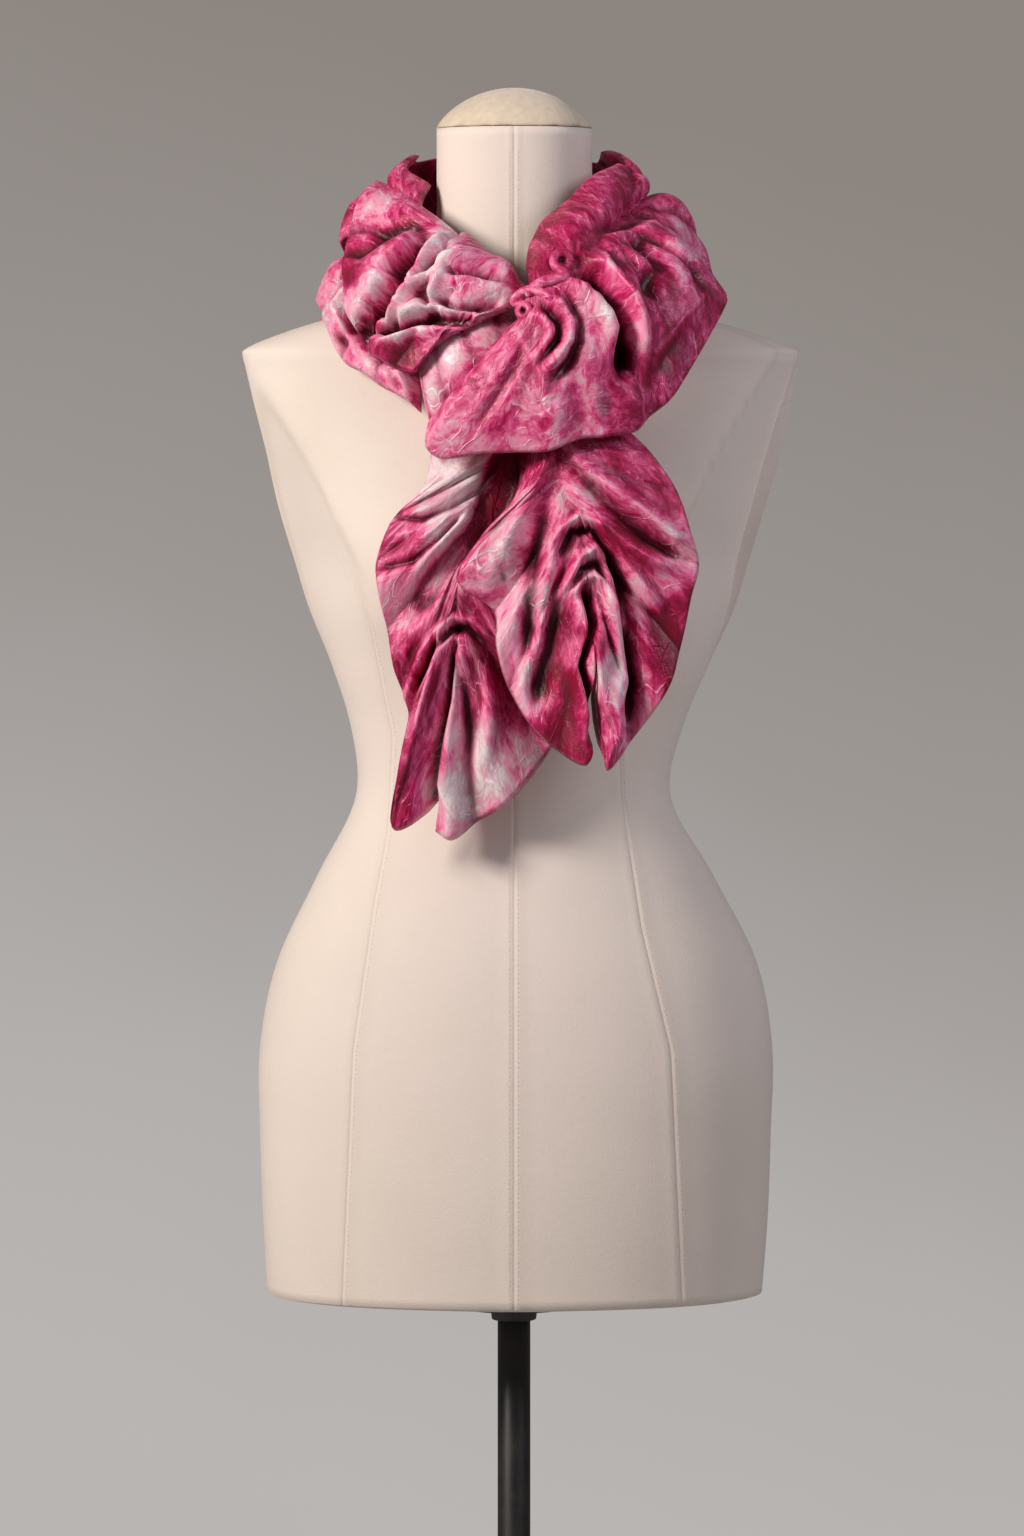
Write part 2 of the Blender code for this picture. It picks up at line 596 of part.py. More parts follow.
def build_throat(coat):
    """Rounded bundle of the layers that pass through the loop, pleated down its length."""
    path = world(THROAT_PATH)
    steps = 13
    u = np.linspace(0.0, 1.0, steps)
    ats = np.linspace(0.0, 1.0, len(path))
    centre = curve(ats, path, u)
    wide = curve(ats, THROAT_HALF_WIDTHS, u)
    deep = curve(ats, THROAT_HALF_DEPTHS, u)
    away = outward(centre)
    heading = unit(np.gradient(centre, axis=0))
    away = unit(away - np.sum(away * heading, axis=1, keepdims=True) * heading)
    side = np.cross(away, heading)
    verts = []
    for i in range(steps):
        for k in range(THROAT_SIDES):
            turn = 2 * math.pi * k / THROAT_SIDES
            pleat = 1.0 + THROAT_PLEAT_RISE * math.cos(THROAT_PLEATS * turn + 1.5 * u[i])
            sideways = side[i] * wide[i] * pleat * math.cos(turn)
            forwards = away[i] * deep[i] * pleat * math.sin(turn)
            verts.append(centre[i] + sideways + forwards)
    faces = []
    for i in range(steps - 1):
        for k in range(THROAT_SIDES):
            a = i * THROAT_SIDES + k
            b = i * THROAT_SIDES + (k + 1) % THROAT_SIDES
            faces.append((a, b, b + THROAT_SIDES, a + THROAT_SIDES))
    faces.append(tuple(range(THROAT_SIDES)))
    faces.append(tuple(range((steps - 1) * THROAT_SIDES, steps * THROAT_SIDES)))
    return add_solid("scarf_throat", verts, faces, coat)


def main():
    clear_scene()
    jersey = material("form_jersey", (0.80, 0.72, 0.65), 0.85)
    cap_cloth = material("form_cap_cotton", (0.76, 0.66, 0.50), 0.9)
    metal = material("stand_black_steel", (0.012, 0.011, 0.011), 0.4)
    velvet = material("scarf_velvet", (0.55, 0.07, 0.22), 0.6)
    torso = build_torso(jersey)
    build_cap(cap_cloth)
    build_panel(jersey)
    build_stand(metal)
    throat = build_throat(velvet)
    settle(throat, [torso], BACK, THROAT_SEAT)
    carriers = [torso, throat]
    for name, gather, one_side, other_side, heading, seat, slim in (
        ("scarf_under_strand", UNDER_GATHER, UNDER_OUTER, UNDER_INNER, DOWN, 1.0, True),
        ("scarf_top_strand_back", TOP_GATHER, TOP_OUTER, TOP_INNER, DOWN, 1.2, False),
        ("scarf_top_strand_left", LEFT_GATHER, LEFT_OUTER, LEFT_INNER, BACK, 0.8, True),
        ("scarf_left_end", LEFT_END_GATHER, LEFT_END_LEFT, LEFT_END_RIGHT, BACK, 0.7, False),
        ("scarf_right_end", RIGHT_END_GATHER, RIGHT_END_RIGHT, RIGHT_END_LEFT, BACK, 0.7, False),
        ("scarf_loop", LOOP_GATHER, LOOP_OUTER, LOOP_INNER, BACK, 2.1, True),
    ):
        made = build_stretch(name, gather, one_side, other_side, velvet, carriers, slim)
        settle(made, carriers, heading, seat)
        carriers.append(made)


main()
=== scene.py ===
"""Detailed visual model of a gathered velvet tube scarf, looped round a dress form's neck.

The scarf is one long velvet tube, gathered along its middle, folded in half, passed
round the neck, its two ends pulled through the fold. Each stretch is laid on the form
by listed folds and then relaxed to the length of its flat cloth, so that the
spare length buckles into folds that start fine at the gather and widen outwards.
Tables are in millimetres: x to the right, "high" above the form's datum, "out" forward.
"""
import functools
import json
import math
from collections import namedtuple

import bmesh
import bpy
import numpy as np
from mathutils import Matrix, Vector
from mathutils.bvhtree import BVHTree

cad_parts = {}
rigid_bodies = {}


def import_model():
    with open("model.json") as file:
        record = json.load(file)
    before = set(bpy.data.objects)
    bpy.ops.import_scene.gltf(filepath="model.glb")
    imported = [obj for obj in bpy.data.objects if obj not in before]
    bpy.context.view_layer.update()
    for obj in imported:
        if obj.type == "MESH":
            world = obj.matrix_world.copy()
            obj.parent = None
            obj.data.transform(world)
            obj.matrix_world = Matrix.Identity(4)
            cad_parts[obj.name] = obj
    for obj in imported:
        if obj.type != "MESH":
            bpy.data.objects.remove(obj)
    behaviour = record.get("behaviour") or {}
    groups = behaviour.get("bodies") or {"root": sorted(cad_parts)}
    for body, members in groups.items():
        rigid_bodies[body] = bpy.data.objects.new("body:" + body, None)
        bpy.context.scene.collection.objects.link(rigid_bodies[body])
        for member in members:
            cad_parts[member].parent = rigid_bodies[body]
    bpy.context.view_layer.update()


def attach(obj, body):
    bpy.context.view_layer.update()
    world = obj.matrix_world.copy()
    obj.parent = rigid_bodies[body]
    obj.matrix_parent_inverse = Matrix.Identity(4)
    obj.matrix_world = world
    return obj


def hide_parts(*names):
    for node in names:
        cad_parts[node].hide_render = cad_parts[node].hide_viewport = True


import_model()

bl_info = {
    "name": "Gathered velvet scarf on a dress form",
    "version": (1, 0, 0),
    "blender": (4, 5, 0),
    "location": "View3D > Sidebar > Scarf",
    "description": "Builds the scarf, the dress form, its stand and a studio stage",
    "category": "Object",
}

MM = 0.001
# Height over the floor that the form's and the scarf's own heights start from, in mm
DATUM = 780.0

Section = namedtuple("Section", "high left right front back")
Point = namedtuple("Point", "x high out")
Fold = namedtuple("Fold", "at x high out rise")
Stain = namedtuple("Stain", "x high reach tone")
Seam = namedtuple("Seam", "name side depth path")
Crease = namedtuple("Crease", "rise width lean path")
Curl = namedtuple("Curl", "x high reach thick turns start tail")
Turned = namedtuple("Turned", "node sides profile")
Stretch = namedtuple(
    "Stretch", "piece gather outer inner keep strength ease calm inner_full seed rests creases stains tone")


def table(columns, *rows):
    """Rows of one table, each with its columns named."""
    return tuple(map(columns._make, rows))


# ---------------------------------------------------------------- dress form's tables
BODY_SECTIONS = table(
    Section, (8, 173, 174, 108, 108), (60, 176, 178, 111, 114), (120, 178, 180, 112, 120),
    (180, 178, 181, 111, 120), (240, 166, 170, 106, 110), (300, 138, 140, 96, 94),
    (360, 110, 109, 86, 79), (405, 114, 118, 89, 79), (450, 128, 137, 99, 84), (490, 144, 155, 111, 88),
    (520, 153, 164, 116, 92), (560, 165, 176, 110, 96), (600, 174, 187, 97, 99), (636, 183, 194, 83, 99),
    (656, 187.6, 198, 75, 95), (664, 189.4, 200, 73, 92), (668, 189.2, 199.4, 71, 90),
    (671, 184, 193, 69.5, 88.5), (682, 156, 162, 65, 82), (692, 124, 128, 62, 76), (703, 92, 94, 60, 70),
    (716, 70, 71, 57, 64), (734, 59, 60, 55, 60), (760, 54.5, 55, 54, 57), (792, 54, 54.5, 53, 56),
    (822, 54, 54.5, 52, 56))
# Power in the form's sections: 1 gives an ellipse, and less is squarer
ROUND = 0.92
BUST_HIGH, BUST_APART, BUST_RISE = 516.0, 70.0, 9.0
BUST_TALL, BUST_WIDE, BUST_GAP = 48.0, 38.0, 30.0
ARMHOLE_TURN, ARMHOLE_REACH, ARMHOLE_FADE = 27.0, 0.965, (430.0, 540.0)
NECK_TOP, CAP_TOP = 822.0, 850.5
# Closer rings where the shoulders turn over: first, last and pitch
SHOULDER_ROWS = (640.0, 720.0, 2.5)
# Core that the cloth's outward headings start from: distance behind the axis, and top
CORE_BACK, CORE_TOP = 30.0, 600.0
# Underside, from the plate out to the hem: height, and share of the hem's reach
HEM_TURN = ((-1.6, 0.42), (6.2, 0.955), (7.3, 0.988))
# Seams run up the form: front (1), back (-1) or side (0), share of the profile's relief by
# height, and x by height. A side seam needs no x, for it runs where the section is widest.
SIDE_DEPTH = ((8, 0.7), (540, 0.5), (580, 0), (655, 0), (675, 0.5), (708, 0.5), (735, 0))
SEAMS = table(
    Seam,
    ("centre_front", 1, ((8, 0.6), (560, 0.4), (700, 0.5), (822, 0.6)), ((8, 0), (822, 0))),
    ("princess_right_front", 1, ((8, 0.6), (480, 0.45), (545, 0)),
     ((8, 116), (185, 108), (269, 88), (360, 74), (420, 72), (480, 88), (545, 128))),
    ("side_right", 0, SIDE_DEPTH, ()),
    ("princess_right_back", -1, ((8, 0.7), (560, 0.5), (620, 0)),
     ((8, 84), (200, 84), (360, 56), (500, 66), (620, 84))),
    ("centre_back", -1, ((8, 1), (822, 1)), ((8, 0), (822, 0))),
    ("princess_left_back", -1, ((8, 0.7), (560, 0.5), (620, 0)),
     ((8, -84), (200, -84), (360, -56), (500, -66), (620, -84))),
    ("side_left", 0, SIDE_DEPTH, ()),
    ("princess_left_front", 1, ((8, 0.6), (480, 0.45), (545, 0)),
     ((8, -119), (185, -111), (283, -97), (332, -88), (400, -84), (480, -100), (545, -134))))
# Across a seam: distance from its line and lift of the cover, in mm
SEAM_PROFILE = (
    (-6.2, 0.0), (-4.6, 0.42), (-1.3, 0.36), (-0.5, -0.15), (0.0, -0.6),
    (0.5, -0.15), (1.3, 0.36), (4.6, 0.42), (6.2, 0.0),
)
# Stand: radius and height over the floor, up each turned piece
STAND = table(
    Turned,
    ("stand_base", 128, (
        (2.0, 0.4), (190, 0.4), (206, 0.0), (208.6, 0.5), (209.7, 1.4), (210, 2.4),
        (209.8, 3.8), (209.0, 5.0), (207.2, 5.8), (204, 6.0), (60, 6.6), (36, 7.2),
        (29, 8.2), (25.6, 10), (24.2, 12.6), (23.8, 18), (23.2, 20.6), (21.6, 21.8),
        (19.0, 22.0), (5.0, 22.0))),
    ("stand_pole", 64, (
        (10.4, 22.3), (11.2, 22.6), (11.5, 23.2), (11.5, 400), (11.5, 766.9),
        (11.2, 767.3), (10.6, 767.4))),
    ("stand_top_plate", 64, (
        (14.6, 767.7), (15.6, 768.2), (16.2, 772.6), (18.0, 775.0), (23.0, 776.4),
        (38.8, 776.5), (39.8, 776.8), (40.0, 777.1), (39.4, 777.6), (38.4, 777.7))))

# ---------------------------------------------------------------- scarf's tables
# Gather: points along the gathering thread. Folds: place along the edge, its point, and the
# rise of the fold that ends there (a crest high, a trough low).
UNDER_GATHER = table(
    Point, (-62, 676, 84), (-74, 686, 80), (-86, 698, 72), (-97, 712, 52), (-102, 728, 24),
    (-98, 738, -8), (-86, 736, -42), (-60, 726, -72), (-24, 718, -88), (16, 717, -90), (54, 724, -77),
    (83, 735, -48), (98, 740, -12), (102, 730, 22), (96, 712, 52), (80, 694, 74))
UNDER_OUTER = table(
    Fold, (0.00, -66, 626, 104, 3), (0.05, -77, 635, 104, 10), (0.09, -93, 644, 98, 3),
    (0.13, -104, 652, 90, 12), (0.17, -120, 662, 76, 4), (0.21, -130, 684, 58, 14),
    (0.25, -134, 694, 34, 6), (0.29, -136, 699, 8, 16), (0.33, -131, 690, -22, 4),
    (0.38, -130, 676, -52, 15), (0.43, -106, 654, -86, 3), (0.48, -78, 636, -116, 14),
    (0.53, -40, 632, -124, 4), (0.58, -4, 620, -134, 16), (0.63, 32, 630, -126, 4),
    (0.68, 70, 636, -122, 14), (0.73, 100, 654, -96, 3), (0.78, 126, 672, -66, 16),
    (0.83, 134, 690, -28, 4), (0.88, 141, 700, 6, 15), (0.93, 138, 688, 36, 4), (1.00, 118, 662, 72, 8))
UNDER_INNER = table(
    Fold, (0.00, -56, 690, 72, 3), (0.12, -62, 716, 60, 6), (0.25, -76, 736, 38, 6),
    (0.40, -72, 750, -20, 8), (0.58, -10, 742, -72, 6), (0.75, 66, 748, -40, 8), (0.90, 78, 740, 26, 6),
    (1.00, 66, 712, 56, 3))
TOP_GATHER = table(
    Point, (-66, 762, 44), (-82, 770, 22), (-88, 773, -6), (-80, 768, -36), (-58, 762, -62),
    (-24, 758, -78), (16, 758, -79), (52, 763, -66), (77, 770, -40), (88, 774, -8), (84, 768, 22),
    (70, 756, 46))
TOP_OUTER = table(
    Fold, (0.00, -88, 742, 58, 4), (0.06, -104, 744, 44, 14), (0.12, -110, 750, 24, 3),
    (0.19, -120, 742, 2, 16), (0.26, -112, 724, -34, 3), (0.33, -108, 712, -66, 17),
    (0.40, -76, 700, -94, 2), (0.47, -46, 690, -118, 16), (0.54, -6, 694, -112, 3),
    (0.61, 34, 688, -120, 17), (0.68, 66, 700, -100, 2), (0.75, 102, 708, -76, 16),
    (0.82, 112, 726, -38, 3), (0.89, 124, 744, -4, 16), (0.95, 114, 746, 28, 4), (1.00, 104, 738, 46, 8))
TOP_INNER = table(
    Fold, (0.00, -60, 786, 22, 3), (0.09, -74, 794, 8, 12), (0.18, -70, 806, -12, 2),
    (0.28, -68, 801, -34, 13), (0.38, -40, 808, -54, 2), (0.50, -8, 800, -72, 13),
    (0.61, 24, 808, -62, 2), (0.72, 58, 801, -50, 12), (0.82, 66, 810, -16, 2), (0.91, 78, 798, 10, 12),
    (1.00, 66, 786, 28, 3))
LEFT_GATHER = table(
    Point, (1, 695, 120), (-11, 701, 121), (-26, 709, 117), (-40, 720, 111), (-46, 731, 103),
    (-41, 738, 93), (-35, 741, 82))
LEFT_OUTER = table(
    Fold, (0.00, -30, 681, 118, 2), (0.10, -46, 673, 119, 9), (0.19, -60, 665, 117, 3),
    (0.27, -68, 652, 116, 10), (0.35, -83, 656, 110, -1), (0.43, -93, 661, 106, 11),
    (0.51, -102, 667, 98, -6), (0.60, -113, 689, 86, 17), (0.68, -117, 708, 70, 4),
    (0.76, -119, 729, 52, 15), (0.83, -116, 750, 36, 3), (0.91, -108, 772, 18, 19),
    (1.00, -96, 788, -6, 11))
LEFT_INNER = table(
    Fold, (0.00, 10, 707, 100, 2), (0.25, -2, 716, 94, 10), (0.50, -12, 728, 86, 3),
    (0.75, -22, 735, 80, 9), (1.00, -36, 741, 68, 2))
THROAT_PATH = table(
    Point, (-30, 692, 95), (-28, 678, 101), (-27, 656, 105), (-17, 632, 104), (-1, 606, 105))
THROAT_HALF_WIDTHS = (23, 33, 39, 44, 38)
THROAT_HALF_DEPTHS = (13, 18, 19, 14, 5)
LEFT_END_GATHER = table(
    Point, (-4, 622, 108), (-4, 600, 112), (-10, 586, 115), (-20, 564, 118), (-32, 527, 120),
    (-38, 497, 121), (-37, 476, 121))
LEFT_END_LEFT = table(
    Fold, (0.00, -50, 618, 102, 2), (0.09, -57, 597, 106, 3), (0.16, -61, 575, 113, 12),
    (0.24, -82, 554, 116, 1), (0.32, -87, 544, 119, 11), (0.41, -95, 522, 119, 1),
    (0.50, -93, 503, 122, 14), (0.59, -88, 476, 119, -2), (0.68, -83, 450, 120, 9),
    (0.77, -74, 418, 113, -6), (0.85, -78, 384, 124, 10), (0.91, -84, 342, 126, 13),
    (0.96, -71, 343, 126, 14), (1.00, -54, 359, 120, 1))
LEFT_END_RIGHT = table(
    Fold, (0.00, 24, 616, 104, 2), (0.10, 26, 597, 107, 3), (0.24, 31, 571, 114, 9),
    (0.38, 35, 537, 117, 1), (0.52, 35, 496, 119, 9), (0.64, 33, 449, 119, 0), (0.74, 29, 415, 121, 9),
    (0.82, 22, 389, 118, 0), (0.88, -5, 357, 124, 12), (0.93, -27, 344, 121, -3),
    (0.97, -44, 332, 125, 10), (1.00, -55, 338, 120, 1))
RIGHT_END_GATHER = table(
    Point, (28, 622, 119), (28, 601, 127), (31, 585, 134), (35, 568, 139), (42, 548, 143), (46, 530, 145),
    (46, 512, 145))
RIGHT_END_LEFT = table(
    Fold, (0.00, 4, 618, 117, 2), (0.12, 10, 597, 123, 2), (0.24, -1, 565, 135, 9),
    (0.35, -23, 539, 140, 2), (0.44, -39, 511, 143, 10), (0.54, -14, 489, 141, -1),
    (0.64, -12, 465, 146, 12), (0.74, -3, 436, 145, -4), (0.82, 12, 411, 148, 5), (0.89, 31, 394, 149, 0),
    (0.95, 50, 385, 153, 14), (1.00, 56, 404, 146, 2))
RIGHT_END_RIGHT = table(
    Fold, (0.00, 70, 624, 113, 2), (0.10, 80, 611, 117, 3), (0.20, 94, 596, 128, 10),
    (0.29, 111, 571, 135, 2), (0.38, 121, 541, 141, 13), (0.47, 126, 521, 141, 2),
    (0.56, 120, 497, 145, 12), (0.65, 114, 463, 142, -4), (0.75, 104, 435, 146, 9),
    (0.84, 81, 401, 145, -5), (0.92, 62, 381, 154, 16), (1.00, 58, 404, 146, 2))
LOOP_GATHER = table(
    Point, (2, 687, 138), (9, 693, 144), (18, 701, 145), (30, 712, 140), (43, 724, 128), (56, 738, 109),
    (66, 750, 85), (74, 760, 55), (82, 768, 19))
LOOP_OUTER = table(
    Fold, (0.00, -59, 619, 137, 5), (0.05, -61, 602, 142, 7), (0.10, -50, 593, 144, 8),
    (0.16, -26, 596, 148, 10), (0.22, 1, 597, 149, 11), (0.28, 24, 598, 152, 13),
    (0.34, 45, 606, 149, 12), (0.41, 64, 608, 149, 15), (0.47, 84, 612, 141, 12),
    (0.53, 94, 622, 132, -1), (0.60, 108, 634, 125, 24), (0.67, 121, 653, 109, 9),
    (0.73, 132, 672, 91, 21), (0.79, 145, 695, 69, 7), (0.84, 147, 703, 57, 22), (0.90, 138, 720, 33, 5),
    (0.95, 132, 740, 11, 19), (1.00, 116, 757, -17, 9))
LOOP_INNER = table(
    Fold, (0.00, 4, 703, 119, 2), (0.15, 10, 712, 107, 6), (0.30, 8, 728, 95, 14), (0.45, 12, 744, 87, 5),
    (0.58, 21, 759, 81, 17), (0.72, 36, 771, 72, 6), (0.86, 54, 788, 57, 16), (1.00, 76, 798, 25, 4))

# Folds seen from the front: rise (a trough below 0), half width, and how far the crest
# leans to the right, in mm
LOOP_CREASES = table(
    Crease, (7, 26, 0, ((40, 700), (75, 690), (104, 712))),
    (5, 3.4, 0, ((10, 691), (20, 687), (25, 679), (20, 669), (10, 657))),
    (-6, 3, 0, ((20, 696), (30, 684), (29, 673), (20, 662))),
    (6.5, 4.2, 0, ((22, 703), (34, 694), (39, 685), (38, 675), (31, 663), (20, 652))),
    (-6.5, 4, 0, ((34, 702), (43, 686), (43, 672), (38, 659), (28, 646))),
    (10, 6, 3, ((34, 712), (51, 704), (59, 693), (64, 682), (66, 666))),
    (-25, 5.4, 0, ((44, 715), (56, 707), (66, 694), (71, 681), (74, 668), (75, 652))),
    (15, 5, -4, ((48, 728), (60, 724), (69, 713), (77, 700), (84, 682), (89, 658))),
    (-6, 6, 0, ((78, 752), (98, 724), (90, 710), (90, 694))),
    (4.5, 5, 0, ((54, 731), (67, 735), (81, 729), (97, 721))),
    (4.5, 5, 0, ((58, 741), (81, 747), (98, 756))),
    (-6, 4, 0, ((60, 749), (79, 755), (92, 758))),
    (-4, 6, 0, ((113, 734), (122, 718), (126, 701))),
    (6, 9, 0, ((102, 747), (116, 726), (120, 701), (110, 676))),
    (2.2, 1.7, 0, ((133, 708), (111, 684), (95, 660))),
    (-2, 5, 0, ((112, 676), (102, 660), (98, 646))),
    (2, 1.7, 0, ((2, 681), (14, 658), (22, 638))),
    (-2, 5, 0, ((4, 660), (-10, 638), (-23, 619))),
    (3, 9, 0, ((31, 633), (29, 612))),
    (-3, 6, 0, ((64, 638), (63, 619))),
    (3, 8, 0, ((86, 643), (83, 624))),
    (-4.5, 5, 0, ((24, 722), (32, 727), (40, 729))),
    (-3.5, 4, 0, ((2, 694), (10, 697))))
LEFT_CREASES = table(
    Crease, (14, 30, 0, ((-98, 690), (-60, 716), (-24, 700))),
    (-7, 5, 0, ((-119, 736), (-107, 735), (-90, 744), (-73, 750), (-57, 749))),
    (10, 9, 4, ((-118, 704), (-99, 717), (-77, 731), (-60, 745))),
    (-36, 6.2, 0, ((-61, 736), (-75, 722), (-86, 709), (-94, 696), (-100, 683), (-105, 669))),
    (10, 3.6, 5, ((-67, 741), (-82, 725), (-94, 711), (-102, 697), (-108, 682))),
    (6.5, 3.6, -1, ((-44, 740), (-60, 725), (-71, 717), (-82, 704), (-90, 691), (-95, 680))),
    (-26, 4.4, 0, ((-46, 729), (-62, 717), (-73, 707), (-82, 696), (-88, 687))),
    (7, 4, -2, ((-40, 724), (-53, 722), (-62, 712), (-71, 701), (-80, 689))),
    (-9, 3.4, 0, ((-54, 718), (-59, 702), (-54, 692))),
    (4, 3, 0, ((-42, 718), (-50, 705), (-55, 694))),
    (6.5, 5, 0, ((-44, 722), (-28, 725), (-11, 723), (5, 712))),
    (-7, 2.8, 0, ((-46, 718), (-39, 714), (-22, 713), (-12, 711))),
    (7, 6, 0, ((-43, 712), (-25, 707), (-6, 701), (4, 700))),
    (-9, 3, 0, ((-50, 697), (-38, 693), (-22, 694), (-9, 698))),
    (5.5, 4.5, 0, ((-96, 681), (-77, 689), (-52, 691), (-30, 690))),
    (-18, 3.6, 0, ((-101, 676), (-84, 679), (-66, 684), (-52, 686), (-27, 686))),
    (6.5, 5.5, 0, ((-104, 668), (-84, 674), (-66, 678), (-48, 684))))
LEFT_END_CREASES = table(
    Crease, (-28, 9, 0, ((2, 600), (-8, 580), (-16, 558), (-26, 530))),
    (5, 24, 0, ((-50, 560), (-40, 500), (-40, 420))),
    (-6, 2.8, 0, ((-84, 553), (-62, 552), (-44, 559), (-25, 572), (-11, 586))),
    (5, 6, 0, ((-83, 537), (-59, 542), (-35, 560))),
    (-6, 3.2, 0, ((-93, 518), (-69, 524), (-51, 539), (-35, 555))),
    (7, 6, 0, ((-64, 516), (-47, 533), (-25, 560))),
    (-14, 7, 0, ((-68, 485), (-52, 513), (-30, 544))),
    (6, 6, 0, ((-40, 496), (-26, 524), (-15, 544))),
    (9, 8, 3, ((-48, 473), (-61, 448), (-69, 415), (-77, 373))),
    (-17.5, 4, 0, ((-39, 462), (-43, 428), (-50, 397), (-55, 360))),
    (7, 4.5, -3, ((-33, 469), (-38, 437), (-45, 401), (-50, 360))),
    (-4, 6, 0, ((-27, 455), (-26, 428), (-27, 397))),
    (4, 7, 0, ((-15, 435), (-16, 411), (-25, 373))),
    (6, 3.2, 0, ((-75, 425), (-63, 459), (-50, 476), (-38, 484), (-28, 483), (-14, 470))),
    (-5, 2.6, 0, ((-66, 437), (-54, 464), (-42, 476), (-32, 477), (-22, 468))),
    (5, 2.8, 0, ((-58, 437), (-48, 461), (-39, 470), (-31, 470), (-24, 456))))
RIGHT_END_CREASES = table(
    Crease, (8, 30, 0, ((40, 580), (50, 500), (56, 420))),
    (8, 5, -2, ((34, 603), (55, 584), (78, 567), (102, 548), (120, 533))),
    (-8.5, 5, 0, ((44, 583), (67, 561), (91, 540), (115, 525))),
    (7, 5, -2, ((35, 577), (55, 557), (73, 538), (90, 527), (109, 519))),
    (-20, 7, 0, ((62, 538), (71, 512), (72, 490), (76, 462), (80, 440), (74, 412))),
    (8, 4, -1, ((20, 530), (30, 544), (44, 553), (58, 546), (70, 527), (84, 508), (98, 492))),
    (-8.5, 3, 0, ((28, 524), (39, 543), (53, 545), (64, 530), (70, 512))),
    (8, 3.8, 0, ((30, 500), (38, 515), (43, 527), (53, 531), (62, 524), (70, 503), (76, 472))),
    (-6.5, 2.6, 0, ((37, 505), (44, 518), (54, 521), (62, 508))),
    (5, 2.6, 0, ((36, 500), (43, 509), (51, 513), (58, 508))),
    (13, 7, 2, ((60, 508), (68, 480), (72, 452), (70, 416), (61, 387))),
    (-18.5, 3.8, 0, ((48, 506), (52, 481), (46, 454), (54, 424), (55, 398))),
    (6.5, 4, 2, ((40, 500), (45, 474), (38, 452), (43, 434), (48, 408))),
    (-11, 8, 0, ((33, 500), (26, 470), (20, 445), (13, 421))),
    (7, 7, 0, ((23, 593), (4, 561), (-8, 531), (-16, 510))),
    (-7, 6, 0, ((22, 563), (15, 527), (11, 497), (8, 463))),
    (7, 6, 0, ((30, 542), (24, 516), (17, 483), (14, 456))),
    (5, 7, 0, ((4, 470), (5, 436), (18, 405))),
    (-2.5, 2, 0, ((-14, 530), (-6, 508))),
    (1.6, 1.7, 0, ((-29, 521), (-18, 515))),
    (1.6, 1.7, 0, ((-27, 514), (-17, 507))),
    (1.6, 1.7, 0, ((-24, 506), (-14, 500))))
UNDER_CREASES = table(
    Crease, (-20, 20, 0, ((-56, 726), (-78, 706), (-98, 684))),
    (-6, 3, 0, ((-123, 681), (-115, 671))),
    (4, 4, 0, ((-128, 702), (-120, 690), (-112, 668))),
    (-4, 4, 0, ((-117, 695), (-109, 680), (-98, 666))),
    (4, 5, 0, ((-102, 661), (-84, 648), (-70, 640))),
    (-4, 3, 0, ((-84, 650), (-76, 639))),
    (5, 6, 0, ((87, 781), (101, 771), (106, 759))))

# Curls: centre, reach of the coil, half thickness, turns, start, and the roll leading in
CURLS = table(
    Curl, (33, 727, 6.2, 3.8, 1.2, 4.4, ((8, 703), (19, 712), (34, 716))),
    (6, 693, 4.6, 3.0, 1.15, 2.2, ((30, 699), (19, 705), (8, 707), (0, 700))))

# Dye: tone 0 is bare silver cloth, 1 the deepest crimson. Places are seen from the front.
# A few stains, noted where they stand, are painted shade.
LOOP_STAINS = table(
    Stain, (86, 667, 21, 0.72), (126, 701, 18, 0.75), (120, 680, 16, 0.70), (96, 701, 14, 0.76),
    (62, 684, 10, 0.22), (52, 667, 9, 0.30), (31, 660, 16, 0.62), (4, 667, 12, 0.52),
    (-23, 633, 19, 0.55), (-43, 609, 14, 0.42), (-6, 605, 14, 0.45), (31, 626, 18, 0.40),
    (65, 619, 16, 0.55), (92, 636, 18, 0.80), (120, 738, 12, 0.30), (96, 738, 14, 0.70),
    (86, 720, 10, 0.66), (18, 680, 9, 0.60), (31, 741, 18, 0.84), (52, 760, 14, 0.70),
    (73, 782, 12, 0.74), (61, 792, 9, 0.52))
LEFT_STAINS_AND_SHADE = table(
    Stain, (-92, 770, 12, 0.30), (-100, 778, 8, 0.55), (-71, 762, 11, 0.74), (-51, 746, 8, 0.20),
    (-82, 755, 10, 0.80), (-112, 727, 10, 0.82), (-115, 744, 7, 0.62), (-78, 734, 10, 0.62),
    (-99, 701, 11, 0.44), (-88, 712, 9, 0.36), (-58, 715, 10, 0.18), (-64, 698, 10, 0.20),
    (-84, 684, 9, 0.20), (-44, 703, 9, 0.30), (-30, 723, 10, 0.52), (-51, 683, 8, 0.55),
    (-73, 667, 11, 0.84), (-95, 667, 8, 0.72), (-36, 684, 9, 0.52), (-21, 692, 8, 0.32),
    # the table's last four stains, tone 1.2 and 1.3 along the collar's deep trough, are painted shade
    (-7, 696, 8, 0.28), (-18, 712, 8, 0.30), (-72, 724, 4, 1.20), (-82, 713, 4, 1.30),
    (-90, 701, 4, 1.30), (-97, 688, 4, 1.30))
BACK_STAINS = table(
    Stain, (-62, 801, 9, 0.50), (-81, 790, 8, 0.76), (-52, 773, 10, 0.82), (-67, 783, 8, 0.60))
UNDER_STAINS = table(
    Stain, (-124, 702, 10, 0.28), (-129, 713, 7, 0.40), (-117, 671, 9, 0.40), (-100, 652, 10, 0.44),
    (-79, 641, 10, 0.38), (-68, 630, 9, 0.50), (-130, 694, 7, 0.16), (94, 775, 10, 0.70),
    (109, 761, 9, 0.60))
